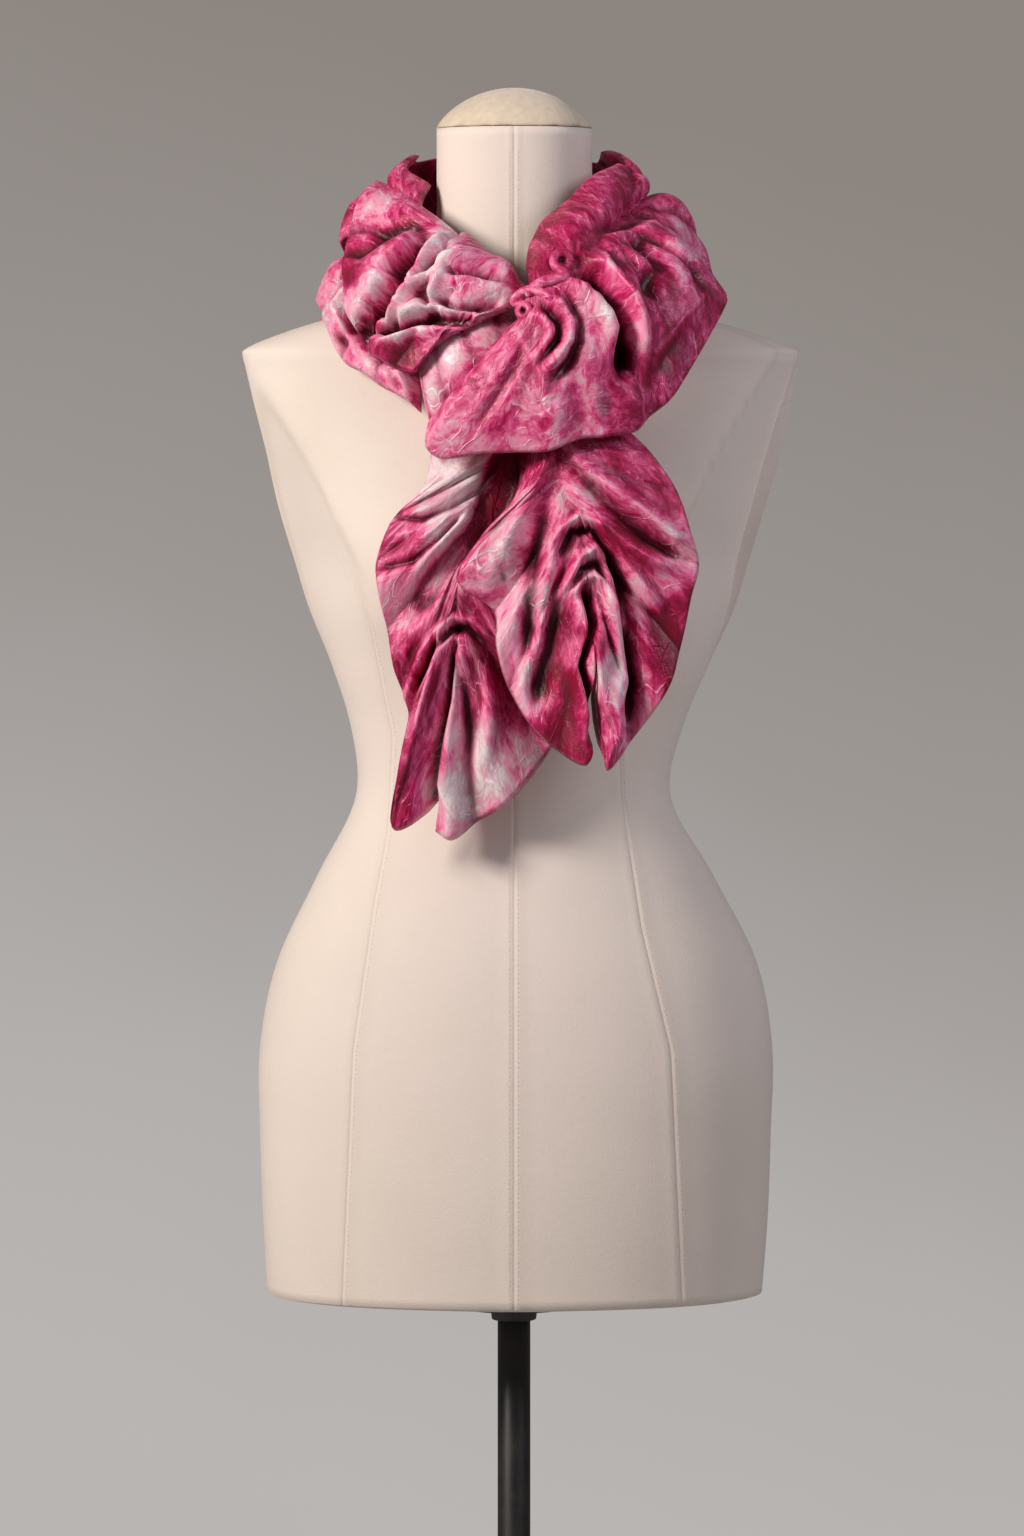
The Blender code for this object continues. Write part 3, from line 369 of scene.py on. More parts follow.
THROAT_STAINS = table(
    Stain, (-51, 661, 9, 0.24), (-30, 677, 9, 0.50), (-57, 643, 8, 0.34))
LEFT_END_STAINS_AND_SHADE = table(
    # the first four stains, dark down the recess under the right end's flap, are painted shade
    Stain, (0, 598, 8, 1.15), (-8, 582, 8, 1.15), (-15, 563, 7, 1.10), (-22, 540, 7, 0.90),
    (-44, 584, 14, 0.02), (-28, 595, 9, 0.05), (-56, 570, 10, 0.12), (-72, 545, 8, 0.60),
    (-79, 536, 9, 0.74), (-47, 547, 12, 0.14), (-61, 527, 8, 0.40), (-50, 513, 8, 0.36),
    (-88, 524, 7, 0.50), (-81, 493, 11, 0.32), (-76, 459, 12, 0.76), (-70, 435, 10, 0.70),
    (-61, 479, 10, 0.46), (-49, 496, 8, 0.55), (-30, 479, 9, 0.74), (-64, 425, 9, 0.70),
    (-70, 397, 10, 0.80), (-76, 360, 10, 0.88), (-60, 386, 9, 0.78), (-49, 442, 8, 0.55),
    (-38, 435, 8, 0.52), (-23, 425, 9, 0.55), (-30, 397, 11, 0.16), (-36, 367, 11, 0.02),
    (-45, 343, 9, 0.30), (-10, 397, 10, 0.46), (-8, 377, 10, 0.14), (7, 393, 9, 0.30),
    (-15, 440, 9, 0.84), (-25, 459, 8, 0.78), (-5, 425, 9, 0.70))
RIGHT_END_STAINS = table(
    Stain, (18, 585, 10, 0.78), (4, 565, 10, 0.46), (-16, 525, 10, 0.24), (-23, 516, 7, 0.40),
    (-3, 545, 10, 0.26), (4, 493, 10, 0.20), (-6, 470, 10, 0.20), (4, 442, 10, 0.28), (11, 423, 8, 0.25),
    (24, 463, 10, 0.62), (21, 493, 8, 0.42), (31, 524, 8, 0.50), (38, 565, 8, 0.36), (33, 580, 7, 0.55),
    (19, 403, 8, 0.82), (38, 414, 11, 0.98), (50, 394, 7, 0.98), (33, 436, 10, 0.92), (58, 497, 7, 0.45),
    (55, 517, 6, 0.40), (65, 475, 7, 0.46), (62, 448, 8, 0.12), (65, 428, 7, 0.30), (72, 414, 7, 0.60),
    (52, 466, 8, 0.86), (79, 580, 10, 0.60), (65, 563, 8, 0.50), (52, 573, 7, 0.24), (99, 585, 10, 0.70),
    (92, 561, 9, 0.60), (107, 537, 9, 0.34), (119, 523, 7, 0.30), (86, 537, 10, 0.80), (72, 546, 8, 0.86),
    (102, 520, 7, 0.34), (86, 502, 9, 0.40), (99, 482, 10, 0.82), (106, 459, 10, 1.10),
    (102, 440, 8, 1.05), (86, 441, 8, 0.50), (86, 414, 9, 0.42), (119, 495, 8, 0.86), (66, 388, 6, 0.72),
    (92, 428, 8, 0.52))

# Stretches: piece, its tables, how much of a fold's relief is left at the edge, relief of
# the placed folds, spare length, share of it taken up at the start, spare length of the
# inner side, random seed, what it lies on, creases, stains and the tone between them
STRETCHES = {
    "under": Stretch(
        "scarf_under_strand", UNDER_GATHER, UNDER_OUTER, UNDER_INNER, 0.55, 0.8, 0.9, 0.0, 0.5, 11,
        ("form_torso", "scarf_throat"), UNDER_CREASES, UNDER_STAINS, 0.55),
    "back": Stretch(
        "scarf_top_strand_back", TOP_GATHER, TOP_OUTER, TOP_INNER, 0.55, 0.9, 0.9, 0.0, 0.8, 23,
        ("form_torso", "scarf_under_strand"), (), BACK_STAINS, 0.62),
    "left": Stretch(
        "scarf_top_strand_left", LEFT_GATHER, LEFT_OUTER, LEFT_INNER, 0.8, 0.5, 0.4, 0.0, 0.4, 37,
        ("form_torso", "scarf_under_strand", "scarf_throat"), LEFT_CREASES, LEFT_STAINS_AND_SHADE, 0.5),
    "left_end": Stretch(
        "scarf_left_end", LEFT_END_GATHER, LEFT_END_LEFT, LEFT_END_RIGHT, 0.75, 0.5, 0.35, 0.0, 1.0, 41,
        ("form_torso", "scarf_throat"), LEFT_END_CREASES, LEFT_END_STAINS_AND_SHADE, 0.6),
    "right_end": Stretch(
        "scarf_right_end", RIGHT_END_GATHER, RIGHT_END_RIGHT, RIGHT_END_LEFT, 0.75, 0.5, 0.3, 0.0, 1.0, 53,
        ("form_torso", "scarf_left_end"), RIGHT_END_CREASES, RIGHT_END_STAINS, 0.6),
    "loop": Stretch(
        "scarf_loop", LOOP_GATHER, LOOP_OUTER, LOOP_INNER, 0.2, 0.3, 0.5, 0.9, 0.15, 67,
        ("scarf_top_strand_back", "scarf_right_end"), LOOP_CREASES, LOOP_STAINS, 0.66),
}
# Pairs of neighbours in a grid of cloth: along, across, and on both diagonals
NEIGHBOURS = (
    (np.s_[:-1], np.s_[1:]), (np.s_[:, :-1], np.s_[:, 1:]),
    (np.s_[:-1, :-1], np.s_[1:, 1:]), (np.s_[1:, :-1], np.s_[:-1, 1:]),
)
# Rounds of relaxing: way from the gather over which spare length comes in, steps, and
# height of the first ripple, in metres.
ROUNDS = ((0.030, 200, 0.0009), (0.022, 120, 0.0003), (0.017, 60, 0.0001))
QUICK_ROUNDS = 30
# Depth in front of the axis over which creases and stains come in, in mm
CREASE_FADE, STAIN_FADE = 25.0, 40.0
# Dips below the cloth near by and farther round that get the full painted shade, in metres
NEAR_DIP, WIDE_DIP = 0.0045, 0.0100
VELVET = "crushed silk velvet, marbled dye"


# ---------------------------------------------------------------- settings a user changes
def distance(name, description, default, least):
    """Settings of a length that a user changes, in metres."""
    return {"name": name, "description": description, "default": default, "min": least,
            "subtype": "DISTANCE", "unit": "LENGTH"}


def dye(name, description, default):
    """Settings of one colour of the dye, linear."""
    return {"name": name, "description": description, "default": default, "size": 3,
            "min": 0, "max": 1, "subtype": "COLOR"}


class ScarfSizes(bpy.types.PropertyGroup):
    fullness: bpy.props.FloatProperty(
        name="Fullness", description="Flat length for each length of gathered seam",
        default=1.9, min=1.0, max=3.0)
    tube_gap: bpy.props.FloatProperty(**distance(
        "Tube thickness", "Front layer to back layer of the laid tube", 0.003, 0.001))
    clearance: bpy.props.FloatProperty(**distance(
        "Clearance", "Free way between the tube and what it lies on", 0.0007, 0.0))
    edge_round: bpy.props.FloatProperty(**distance(
        "Edge roundness", "Way over which the folded edge rolls over", 0.0024, 0.0005))
    cell: bpy.props.FloatProperty(**distance(
        "First cell", "Grid spacing at which the folds start to form", 0.0074, 0.003))


class DyeColours(bpy.types.PropertyGroup):
    silver: bpy.props.FloatVectorProperty(**dye("Silver", "Undyed cloth", (0.800, 0.690, 0.700)))
    mauve: bpy.props.FloatVectorProperty(**dye("Mauve", "Thin edge of the dye", (0.720, 0.400, 0.480)))
    rose: bpy.props.FloatVectorProperty(**dye("Rose", "Light pink", (0.800, 0.260, 0.395)))
    pink: bpy.props.FloatVectorProperty(**dye("Pink", "Middle pink", (0.660, 0.075, 0.215)))
    magenta: bpy.props.FloatVectorProperty(**dye("Magenta", "Full dye", (0.400, 0.010, 0.082)))
    crimson: bpy.props.FloatVectorProperty(**dye(
        "Crimson", "Where the dye pooled", (0.220, 0.001, 0.026)))


class FormSizes(bpy.types.PropertyGroup):
    ring_pitch: bpy.props.FloatProperty(**distance(
        "Ring pitch", "Distance between the torso's rings", 0.006, 0.003))
    between: bpy.props.IntProperty(
        name="Columns", description="Columns of the torso between two seams", default=12, min=4)
    stitch_pitch: bpy.props.FloatProperty(**distance(
        "Stitch pitch", "One stitch to the next along a seam", 0.0032, 0.001))
    stitch_long: bpy.props.FloatProperty(**distance(
        "Stitch length", "Thread that shows in one stitch", 0.0021, 0.0005))
    thread: bpy.props.FloatProperty(**distance(
        "Thread", "Sewing thread's thickness", 0.00042, 0.0001))


class StageSettings(bpy.types.PropertyGroup):
    key_power: bpy.props.FloatProperty(
        name="Key light", description="Softbox at the front left", default=74.0,
        min=0, subtype="POWER", unit="POWER")
    fill_power: bpy.props.FloatProperty(
        name="Fill light", description="Weak light from the right", default=25.0,
        min=0, subtype="POWER", unit="POWER")
    room: bpy.props.FloatProperty(
        name="Room light", description="Light from all round", default=0.26, min=0)


# ---------------------------------------------------------------- small helpers
def hex_colour(text):
    """An sRGB hex colour turned linear, with alpha."""
    parts = [int(text[i:i + 2], 16) / 255 for i in (1, 3, 5)]
    return (*[p / 12.92 if p <= 0.04045 else ((p + 0.055) / 1.055) ** 2.4 for p in parts], 1.0)


def feed(tree, node, values):
    """Sets a node's inputs, or links them where the value is another node's output."""
    for key, value in values.items():
        if isinstance(value, bpy.types.NodeSocket):
            tree.links.new(value, node.inputs[key])
        else:
            node.inputs[key].default_value = value


def add_node(tree, kind, values=None, stops=(), **settings):
    """Adds a node and gives its outputs: settings are its properties, values its inputs,
    stops the places and colours of a ramp."""
    made = tree.nodes.new(kind)
    for name, value in settings.items():
        setattr(made, name, value)
    feed(tree, made, values or {})
    for number, (place, colour) in enumerate(stops):
        elements = made.color_ramp.elements
        element = elements[number] if number < 2 else elements.new(place)
        element.position = place
        element.color = hex_colour(colour) if isinstance(colour, str) else (*colour, 1.0)
    return made.outputs


def new_material(name, colour):
    """A material, what adds nodes to its tree and what feeds its shader."""
    made = bpy.data.materials.new(name)
    made.use_nodes = True
    made.diffuse_color = hex_colour(colour)
    tree = made.node_tree
    shader = tree.nodes["Principled BSDF"]
    return made, functools.partial(add_node, tree), functools.partial(feed, tree, shader)


def world(points):
    """Rows of x, high, out in mm turned to positions in metres."""
    points = np.asarray(points, dtype=float)
    return np.stack([points[:, 0], -points[:, 2], points[:, 1] + DATUM], axis=1) * MM


def curve(ats, values, u):
    """Smooth curve through the rows, with tangents from their neighbours."""
    ats = np.asarray(ats, dtype=float)
    values = np.asarray(values, dtype=float)
    slopes = np.gradient(values, ats, axis=0)
    k = np.clip(np.searchsorted(ats, u, side="right") - 1, 0, len(ats) - 2)
    span = ats[k + 1] - ats[k]
    t = (u - ats[k]) / span
    if values.ndim > 1:
        span = span[:, None]
        t = t[:, None]
    start = (1 + 2 * t) * (1 - t) ** 2 * values[k] + t * (1 - t) ** 2 * span * slopes[k]
    end = t * t * (3 - 2 * t) * values[k + 1] + t * t * (t - 1) * span * slopes[k + 1]
    return start + end


def ridged(ats, rises, u):
    """Rise across the folds: broad round crests, narrow sharp troughs."""
    ats = np.asarray(ats, dtype=float)
    rises = np.asarray(rises, dtype=float)
    k = np.clip(np.searchsorted(ats, u, side="right") - 1, 0, len(ats) - 2)
    t = (u - ats[k]) / (ats[k + 1] - ats[k])
    blend = np.where(rises[k] < rises[k + 1], np.sin(0.5 * np.pi * t), 1 - np.cos(0.5 * np.pi * t))
    return rises[k] + (rises[k + 1] - rises[k]) * blend


def smooth(part):
    """Eases a share from 0 to 1, level at both ends."""
    return part * part * (3 - 2 * part)


def unit(vectors):
    """Vectors at a length of one."""
    return vectors / np.maximum(np.linalg.norm(vectors, axis=-1, keepdims=True), 1e-9)


def dot(a, b):
    """Product of vectors, kept as a column."""
    return np.sum(a * b, axis=-1, keepdims=True)


def outward(points):
    """Away from the form: level round the chest, rising over the shoulders."""
    centre = np.zeros_like(points)
    centre[..., 1] = CORE_BACK * MM
    centre[..., 2] = np.minimum(points[..., 2], (DATUM + CORE_TOP) * MM)
    return unit(points - centre)


def wander(shape, cells, seed):
    """Soft random field from -1 to 1, with about one swing for each cell."""
    rng = np.random.default_rng(seed)
    rows, cols = max(2, int(cells[0])), max(2, int(cells[1]))
    lattice = rng.uniform(-1, 1, (rows + 3, cols + 3))
    field = lattice
    for axis, (size, count) in enumerate(zip(shape, (rows, cols))):
        place = np.linspace(1, count + 1 - 1e-6, size)
        k = place.astype(int)
        t = place - k
        weights = (
            (1 - t) ** 3 / 6, (3 * t ** 3 - 6 * t ** 2 + 4) / 6,
            (-3 * t ** 3 + 3 * t ** 2 + 3 * t + 1) / 6, t ** 3 / 6,
        )
        field = np.moveaxis(field, axis, 0)
        taken = [field[np.clip(k + step, 0, len(field) - 1)] for step in (-1, 0, 1, 2)]
        field = sum(w.reshape(-1, *[1] * (field.ndim - 1)) * part for w, part in zip(weights, taken))
        field = np.moveaxis(field, 0, axis)
    return field * 1.7


def blurred(field, times):
    """Softens a grid, edges kept in place."""
    field = field.copy()
    for _ in range(times):
        inner = field[1:-1, 1:-1]
        field[1:-1, 1:-1] = 0.5 * inner + 0.125 * (
            field[2:, 1:-1] + field[:-2, 1:-1] + field[1:-1, 2:] + field[1:-1, :-2])
        for edge in (0, -1):
            field[edge, 1:-1] = 0.5 * field[edge, 1:-1] + 0.25 * (field[edge, 2:] + field[edge, :-2])
            field[1:-1, edge] = 0.5 * field[1:-1, edge] + 0.25 * (field[2:, edge] + field[:-2, edge])
    return field


def lowest_near(field, reach, pick=np.minimum):
    """Lowest (or with np.maximum highest) value within a few cells."""
    for axis in (0, 1):
        padded = np.pad(field, [(reach, reach) if a == axis else (0, 0) for a in (0, 1)], mode="edge")
        size = field.shape[axis]
        parts = [np.take(padded, range(k, k + size), axis=axis) for k in range(2 * reach + 1)]
        field = pick.reduce(parts)
    return field


def resized(field, shape):
    """Grid read at another size."""
    for axis in (0, 1):
        place = np.linspace(0, field.shape[axis] - 1, shape[axis])
        low = np.minimum(place.astype(int), field.shape[axis] - 2)
        part = (place - low).reshape([-1 if a == axis else 1 for a in range(field.ndim)])
        field = np.take(field, low, axis=axis) * (1 - part) + np.take(field, low + 1, axis=axis) * part
    return field


def mesh_object(name, verts, faces, coat, smooth=True):
    """An object of the points in metres and the faces, with its material."""
    mesh = bpy.data.meshes.new(name)
    mesh.from_pydata(np.asarray(verts).tolist(), [], faces)
    mesh.materials.append(coat)
    mesh.polygons.foreach_set("use_smooth", [smooth] * len(mesh.polygons))
    mesh.update()
    made = bpy.data.objects.new(name, mesh)
    bpy.context.collection.objects.link(made)
    return made


def turned_out(made):
    """Turns a closed mesh's faces outwards."""
    body = bmesh.new()
    body.from_mesh(made.data)
    bmesh.ops.recalc_face_normals(body, faces=body.faces)
    if body.calc_volume(signed=True) < 0:
        bmesh.ops.reverse_faces(body, faces=body.faces)
    body.to_mesh(made.data)
    body.free()
    return made


def ring_faces(rows, sides):
    """Faces between rings of equal count, and one at each end."""
    index = np.arange(rows * sides).reshape(rows, sides)
    nearby = np.roll(index, -1, axis=1)
    quads = np.stack([index[:-1], nearby[:-1], nearby[1:], index[1:]], -1).reshape(-1, 4)
    return quads.tolist() + [index[0].tolist(), index[-1].tolist()]


def loft(name, verts, sides, coat, flat_ends=True):
    """Closed skin over rings of equal count, in metres."""
    made = turned_out(mesh_object(name, verts, ring_faces(len(verts) // sides, sides), coat))
    for face in made.data.polygons:
        face.use_smooth = not flat_ends or len(face.vertices) < 5
    return made


def give_values(made, **fields):
    """Writes fields of one number for each point of a mesh."""
    for name, values in fields.items():
        layer = made.data.attributes.new(name, "FLOAT", "POINT")
        layer.data.foreach_set("value", np.asarray(values, dtype=np.float32).ravel())


def give_pattern(made, flat, tone, hollow):
    """Gives cloth its flat coordinates, its dye with some painted shade, and how deep each
    point lies in a fold, which the velvet draws as painted shade and highlight.
    """
    corners = np.empty(len(made.data.loops), dtype=np.int64)
    made.data.loops.foreach_get("vertex_index", corners)
    made.data.uv_layers.new(name="cloth").data.foreach_set("uv", flat[corners].ravel())
    give_values(made, dye_tone=tone, hollow=hollow)


def finish_piece(made, nodes):
    """Ties a finished piece to the frame's root body and hides the CAD nodes it replaces."""
    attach(made, "root")
    if nodes:
        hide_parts(*nodes)


# ---------------------------------------------------------------- materials
def velvet():
    """Crushed silk velvet, hand-dyed, pile about 1 mm, with real sheen and gloss. Its colour
    carries painted highlight on the crests and crush marks, painted sheen on the nap's
    patches, and painted shade in the troughs."""
    if VELVET in bpy.data.materials:
        return bpy.data.materials[VELVET]
    dyes = bpy.context.scene.scarf_dye
    made, add, finish = new_material(VELVET, "#B93B76")
    cloth = add("ShaderNodeUVMap", uv_map="cloth")["UV"]
    # hollow: how deep a point lies in a fold; it paints shade into the troughs and highlight onto the
    # crests
    tone, hollow = (add("ShaderNodeAttribute", attribute_name=name)["Fac"]
                    for name in ("dye_tone", "hollow"))
    # the dye ran through the wet cloth, so its pattern drifts by up to 27 mm
    drift = add("ShaderNodeTexNoise", {
        "Vector": cloth, "Scale": 16.0, "Detail": 3.0, "Roughness": 0.55})["Color"]
    drift = add("ShaderNodeVectorMath", {0: drift, 1: (0.5, 0.5, 0.5)}, operation="SUBTRACT")[0]
    warped = add("ShaderNodeVectorMath", {0: drift, 1: (0.055, 0.055, 0.055), 2: cloth},
                 operation="MULTIPLY_ADD")[0]
    # marbling of 25 mm and wisps of 7 mm; where crush marks show; nap, patches of pile
    # leaning one way or the other, 12 mm, lightened as painted sheen; and a fine mottle of 3 mm
    raw = {}
    for name, place, scale, detail, rough, twist in (
            ("marble", warped, 40, 5, 0.62, 0.4), ("wisps", warped, 130, 5, 0.72, 0),
            ("some", cloth, 26, 2, 0.5, 0), ("few", cloth, 44, 2, 0.5, 0),
            ("nap", warped, 80, 4, 0.6, 0.8), ("mottle", cloth, 340, 3, 0.6, 0)):
        raw[name] = add("ShaderNodeTexNoise", {
            "Vector": place, "Scale": scale, "Detail": detail,
            "Roughness": rough, "Distortion": twist})["Fac"]
    # crush marks: broken thin lines where the pile was pressed flat, cells of 26 and 10 mm; real marks,
    # drawn lighter as painted glint of the flat pile
    for name, scale in (("line", 38), ("thin", 95)):
        raw[name] = add("ShaderNodeTexVoronoi", {"Vector": warped, "Scale": scale},
                        feature="DISTANCE_TO_EDGE")["Distance"]
    field = {}
    for name, value, low, high, to_low, to_high in (
            ("marble", raw["marble"], 0.3, 0.7, -0.28, 0.28),
            ("wisps", raw["wisps"], 0.3, 0.7, -0.2, 0.2),
            ("line", raw["line"], 0, 0.034, 1, 0), ("some", raw["some"], 0.48, 0.60, 0, 1),
            ("thin", raw["thin"], 0, 0.04, 0.8, 0), ("few", raw["few"], 0.54, 0.64, 0, 1),
            # painted shade and highlight: the fold depth shifts the tone, and multiplies dark red into the
            # troughs
            ("sunk", hollow, -1, 1, -0.10, 0.26), ("deep", hollow, -0.1, 1, 0, 0.92),
            # light: painted sheen on the nap's patches; rough: their real roughness
            ("light", raw["nap"], 0.47, 0.66, 0, 0.6), ("rough", raw["nap"], 0.35, 0.68, 0.54, 0.28),
            ("fine", raw["mottle"], 0.3, 0.7, -0.05, 0.05)):
        field[name] = add("ShaderNodeMapRange", {
            "Value": value, "From Min": low, "From Max": high,
            "To Min": to_low, "To Max": to_high})["Result"]
    broken = [add("ShaderNodeMath", {0: field[a], 1: field[b]}, operation="MULTIPLY")[0]
              for a, b in (("line", "some"), ("thin", "few"))]
    mark = add("ShaderNodeMath", {0: broken[0], 1: broken[1]}, operation="MAXIMUM")[0]
    total = {}
    for name, parts in (
            # the tone takes the folds' painted shade and highlight
            ("tone", ((1, tone), (1, field["marble"]), (1, field["wisps"]), (1, field["sunk"]),
                      # crush marks lighten the tone: painted glint on real marks
                      (-0.3, mark))),
            ("rough", ((1, field["rough"]), (-0.1, mark), (1, field["fine"]))),
            ("relief", ((1.5, raw["nap"]), (0.4, raw["mottle"]), (0.8, mark)))):
        total[name] = 0.0
        for share, value in parts:
            total[name] = add("ShaderNodeMath", {0: value, 1: share, 2: total[name]},
                              operation="MULTIPLY_ADD")[0]
    colour = add("ShaderNodeValToRGB", {"Fac": total["tone"]}, stops=(
        (0.04, dyes.silver), (0.24, dyes.mauve), (0.42, dyes.rose),
        (0.60, dyes.pink), (0.80, dyes.magenta), (0.98, dyes.crimson)))["Color"]
    # painted shade: dark red multiplied into the fold troughs; painted sheen: pale pink soft light on the
    # nap's patches
    for share, other, blend in (
            (field["deep"], "#4A0E26", "MULTIPLY"), (field["light"], "#FFEAF2", "SOFT_LIGHT")):
        colour = add("ShaderNodeMix", {0: share, 6: colour, 7: hex_colour(other)},
                     data_type="RGBA", blend_type=blend)[2]
    bump = add("ShaderNodeBump", {"Strength": 0.55, "Distance": 0.0013, "Height": total["relief"]})
    finish({"Base Color": colour, "Roughness": total["rough"], "Normal": bump["Normal"], "IOR": 1.5,
            "Specular IOR Level": 0.55, "Specular Tint": hex_colour("#FFDCE6"),
            "Sheen Weight": 0.14, "Sheen Roughness": 0.34, "Sheen Tint": hex_colour("#FFB8CE")})
    return made


def jersey():
    """Fine knitted cover over a moulded body: matt, with a faint grain of loops (drawn at
    0.9 mm, coarser than the real 0.5 mm, so that it shows) and warmer, worn seam edges."""
    made, add, finish = new_material("cream polyester jersey, stretched", "#E6D9CE")
    place = add("ShaderNodeTexCoord")["Object"]
    broad, spots, slub = (
        add("ShaderNodeTexNoise", {
            "Vector": place, "Scale": scale, "Detail": detail, "Roughness": rough})["Fac"]
        for scale, detail, rough in ((5, 3, 0.5), (60, 4, 0.7), (210, 3, 0.6)))
    worn, rough = (
        add("ShaderNodeMapRange", {
            "Value": value, "From Min": low, "From Max": high, "To Min": to_low, "To Max": to_high})[0]
        for value, low, high, to_low, to_high in (
            (spots, 0.60, 0.80, 0, 0.16), (slub, 0.3, 0.7, 0.72, 0.86)))
    seam = add("ShaderNodeAttribute", attribute_name="seam")["Fac"]
    colour = add("ShaderNodeValToRGB", {"Fac": broad}, stops=(
        (0.30, "#DDCFC3"), (0.52, "#E5D7CC"), (0.72, "#E9D9D0")))["Color"]
    for share, other in ((worn, "#C9B6A2"), (seam, "#BFA995")):
        colour = add("ShaderNodeMix", {0: share, 6: colour, 7: hex_colour(other)},
                     data_type="RGBA")[2]
    knit = add("ShaderNodeTexVoronoi", {"Vector": place, "Scale": 1100.0})["Distance"]
    height = add("ShaderNodeMath", {0: knit, 1: slub}, operation="ADD")[0]
    bump = add("ShaderNodeBump", {"Strength": 0.28, "Distance": 0.0004, "Height": height})
    finish({"Base Color": colour, "Roughness": rough, "Normal": bump["Normal"],
            "Specular IOR Level": 0.35, "Sheen Weight": 0.22, "Sheen Roughness": 0.5})
    return made


def cap_cotton():
    """Brushed cotton over a domed plug: yellower than the cover, chalky and slightly
    grubby, and browner along its ragged lower edge."""
    made, add, finish = new_material("brushed cream cotton", "#E4D3B6")
    place = add("ShaderNodeTexCoord")["Object"]
    fine = add("ShaderNodeTexNoise", {
        "Vector": place, "Scale": 160.0, "Detail": 5.0, "Roughness": 0.65})["Fac"]
    base = add("ShaderNodeValToRGB", {"Fac": fine}, stops=(
        (0.30, "#CDBBA3"), (0.55, "#D9C7B1"), (0.75, "#DFCDB9")))["Color"]
    # browner along the lower edge
    lower_edge = add("ShaderNodeAttribute", attribute_name="seam")["Fac"]
    brown = add("ShaderNodeMix", {0: lower_edge, 6: base, 7: hex_colour("#8E6F4C")}, data_type="RGBA")[2]
    bump = add("ShaderNodeBump", {"Strength": 0.5, "Distance": 0.0006, "Height": fine})
    finish({"Base Color": brown, "Normal": bump["Normal"], "Roughness": 0.92,
            "Specular IOR Level": 0.25, "Sheen Weight": 0.3})
    return made


def black_steel():
    """Powder-coated steel: black with a soft broad shine, a faint orange-peel of 1.5 mm
    and a little dust that greys it."""
    made, add, finish = new_material("satin black powder coat", "#1B1816")
    place = add("ShaderNodeTexCoord")["Object"]
    peel, dust = (
        add("ShaderNodeTexNoise", {
            "Vector": place, "Scale": scale, "Detail": detail, "Roughness": rough})["Fac"]
        for scale, detail, rough in ((700, 2, 0.5), (35, 5, 0.7)))
    base = add("ShaderNodeValToRGB", {"Fac": dust}, stops=((0.40, "#171413"), (0.80, "#2A2624")))
    rough = add("ShaderNodeMapRange", {
        "Value": dust, "From Min": 0.3, "From Max": 0.7, "To Min": 0.36, "To Max": 0.52})
    bump = add("ShaderNodeBump", {"Strength": 0.25, "Distance": 0.0002, "Height": peel})
    finish({"Base Color": base["Color"], "Roughness": rough["Result"], "Normal": bump["Normal"]})
    return made


def sewing_thread():
    """Spun polyester thread: twisted, slightly brighter than the cloth it holds."""
    made, add, finish = new_material("cream polyester thread", "#CDBBA8")
    place = add("ShaderNodeTexCoord")["Object"]
    twist = add("ShaderNodeTexNoise", {
        "Vector": place, "Scale": 1800.0, "Detail": 2.0, "Roughness": 0.5})["Fac"]
    base = add("ShaderNodeValToRGB", {"Fac": twist}, stops=((0.35, "#CDBBA8"), (0.7, "#E9DDCF")))
    finish({"Base Color": base["Color"], "Roughness": 0.6, "Sheen Weight": 0.2})
    return made


# ---------------------------------------------------------------- dress form
def body_point(section, turn):
    """Point of the form's section at a turn, in mm: x and out."""
    across = math.copysign(abs(math.cos(turn)) ** ROUND, math.cos(turn))
    along = math.copysign(abs(math.sin(turn)) ** ROUND, math.sin(turn))
    x = across * (section.right if across > 0 else section.left)
    out = along * (section.front if along > 0 else section.back)
    if out > 0:
        near = math.exp(-((section.high - BUST_HIGH) / BUST_TALL) ** 2)
        side = math.exp(-((abs(x) - BUST_APART) / BUST_WIDE) ** 2)
        out += BUST_RISE * near * (side - 0.55 * math.exp(-(x / BUST_GAP) ** 2))
    return x, out


def pressed_flat(x, out, high, half):
    """The covered armhole plates: the shoulder's front corner pressed flat, its edge piped."""
    turn = math.radians(ARMHOLE_TURN)
    low, full = ARMHOLE_FADE
    share = smooth(min(1.0, max(0.0, (high - low) / (full - low))))
    share *= min(1.0, max(0.0, (700 - high) / 28))
    if out <= 0 or share == 0:
        return x, out, 0.0
    side = math.copysign(1.0, x)
    reach = ARMHOLE_REACH + 0.05 * min(1.0, max(0.0, (high - 575) / 85)) ** 1.5
    past = side * x * math.cos(turn) + out * math.sin(turn) - reach * half * math.cos(turn)
    piping = 0.45 * share * math.exp(-(past / 2.2) ** 2)
    way = 1.2 * math.log1p(math.exp(min(past / 1.2, 40.0))) * share - piping
    return (x - side * way * math.cos(turn), out - way * math.sin(turn),
            share * math.exp(-((past - 2.5) / 1.6) ** 2))


def seam_turn(seam, section, high):
    """Turn at which a seam crosses the section."""
    if seam.side == 0:
        return 0.0 if seam.name.endswith("right") else math.pi
    if "centre" in seam.name:
        return seam.side * 0.5 * math.pi % (2 * math.pi)
    rows = np.array(seam.path, dtype=float)
    x = float(np.interp(high, rows[:, 0], rows[:, 1]))
    reach = section.right if x > 0 else section.left
    turn = math.acos(min(0.97, (abs(x) / reach) ** (1 / ROUND)))
    part = min(1.0, max(0.0, (high - rows[-1, 0]) / 110))
    turn += (math.radians(50) - turn) * part * part * (3 - 2 * part)
    turn = turn if x > 0 else math.pi - turn
    return turn if seam.side > 0 else 2 * math.pi - turn


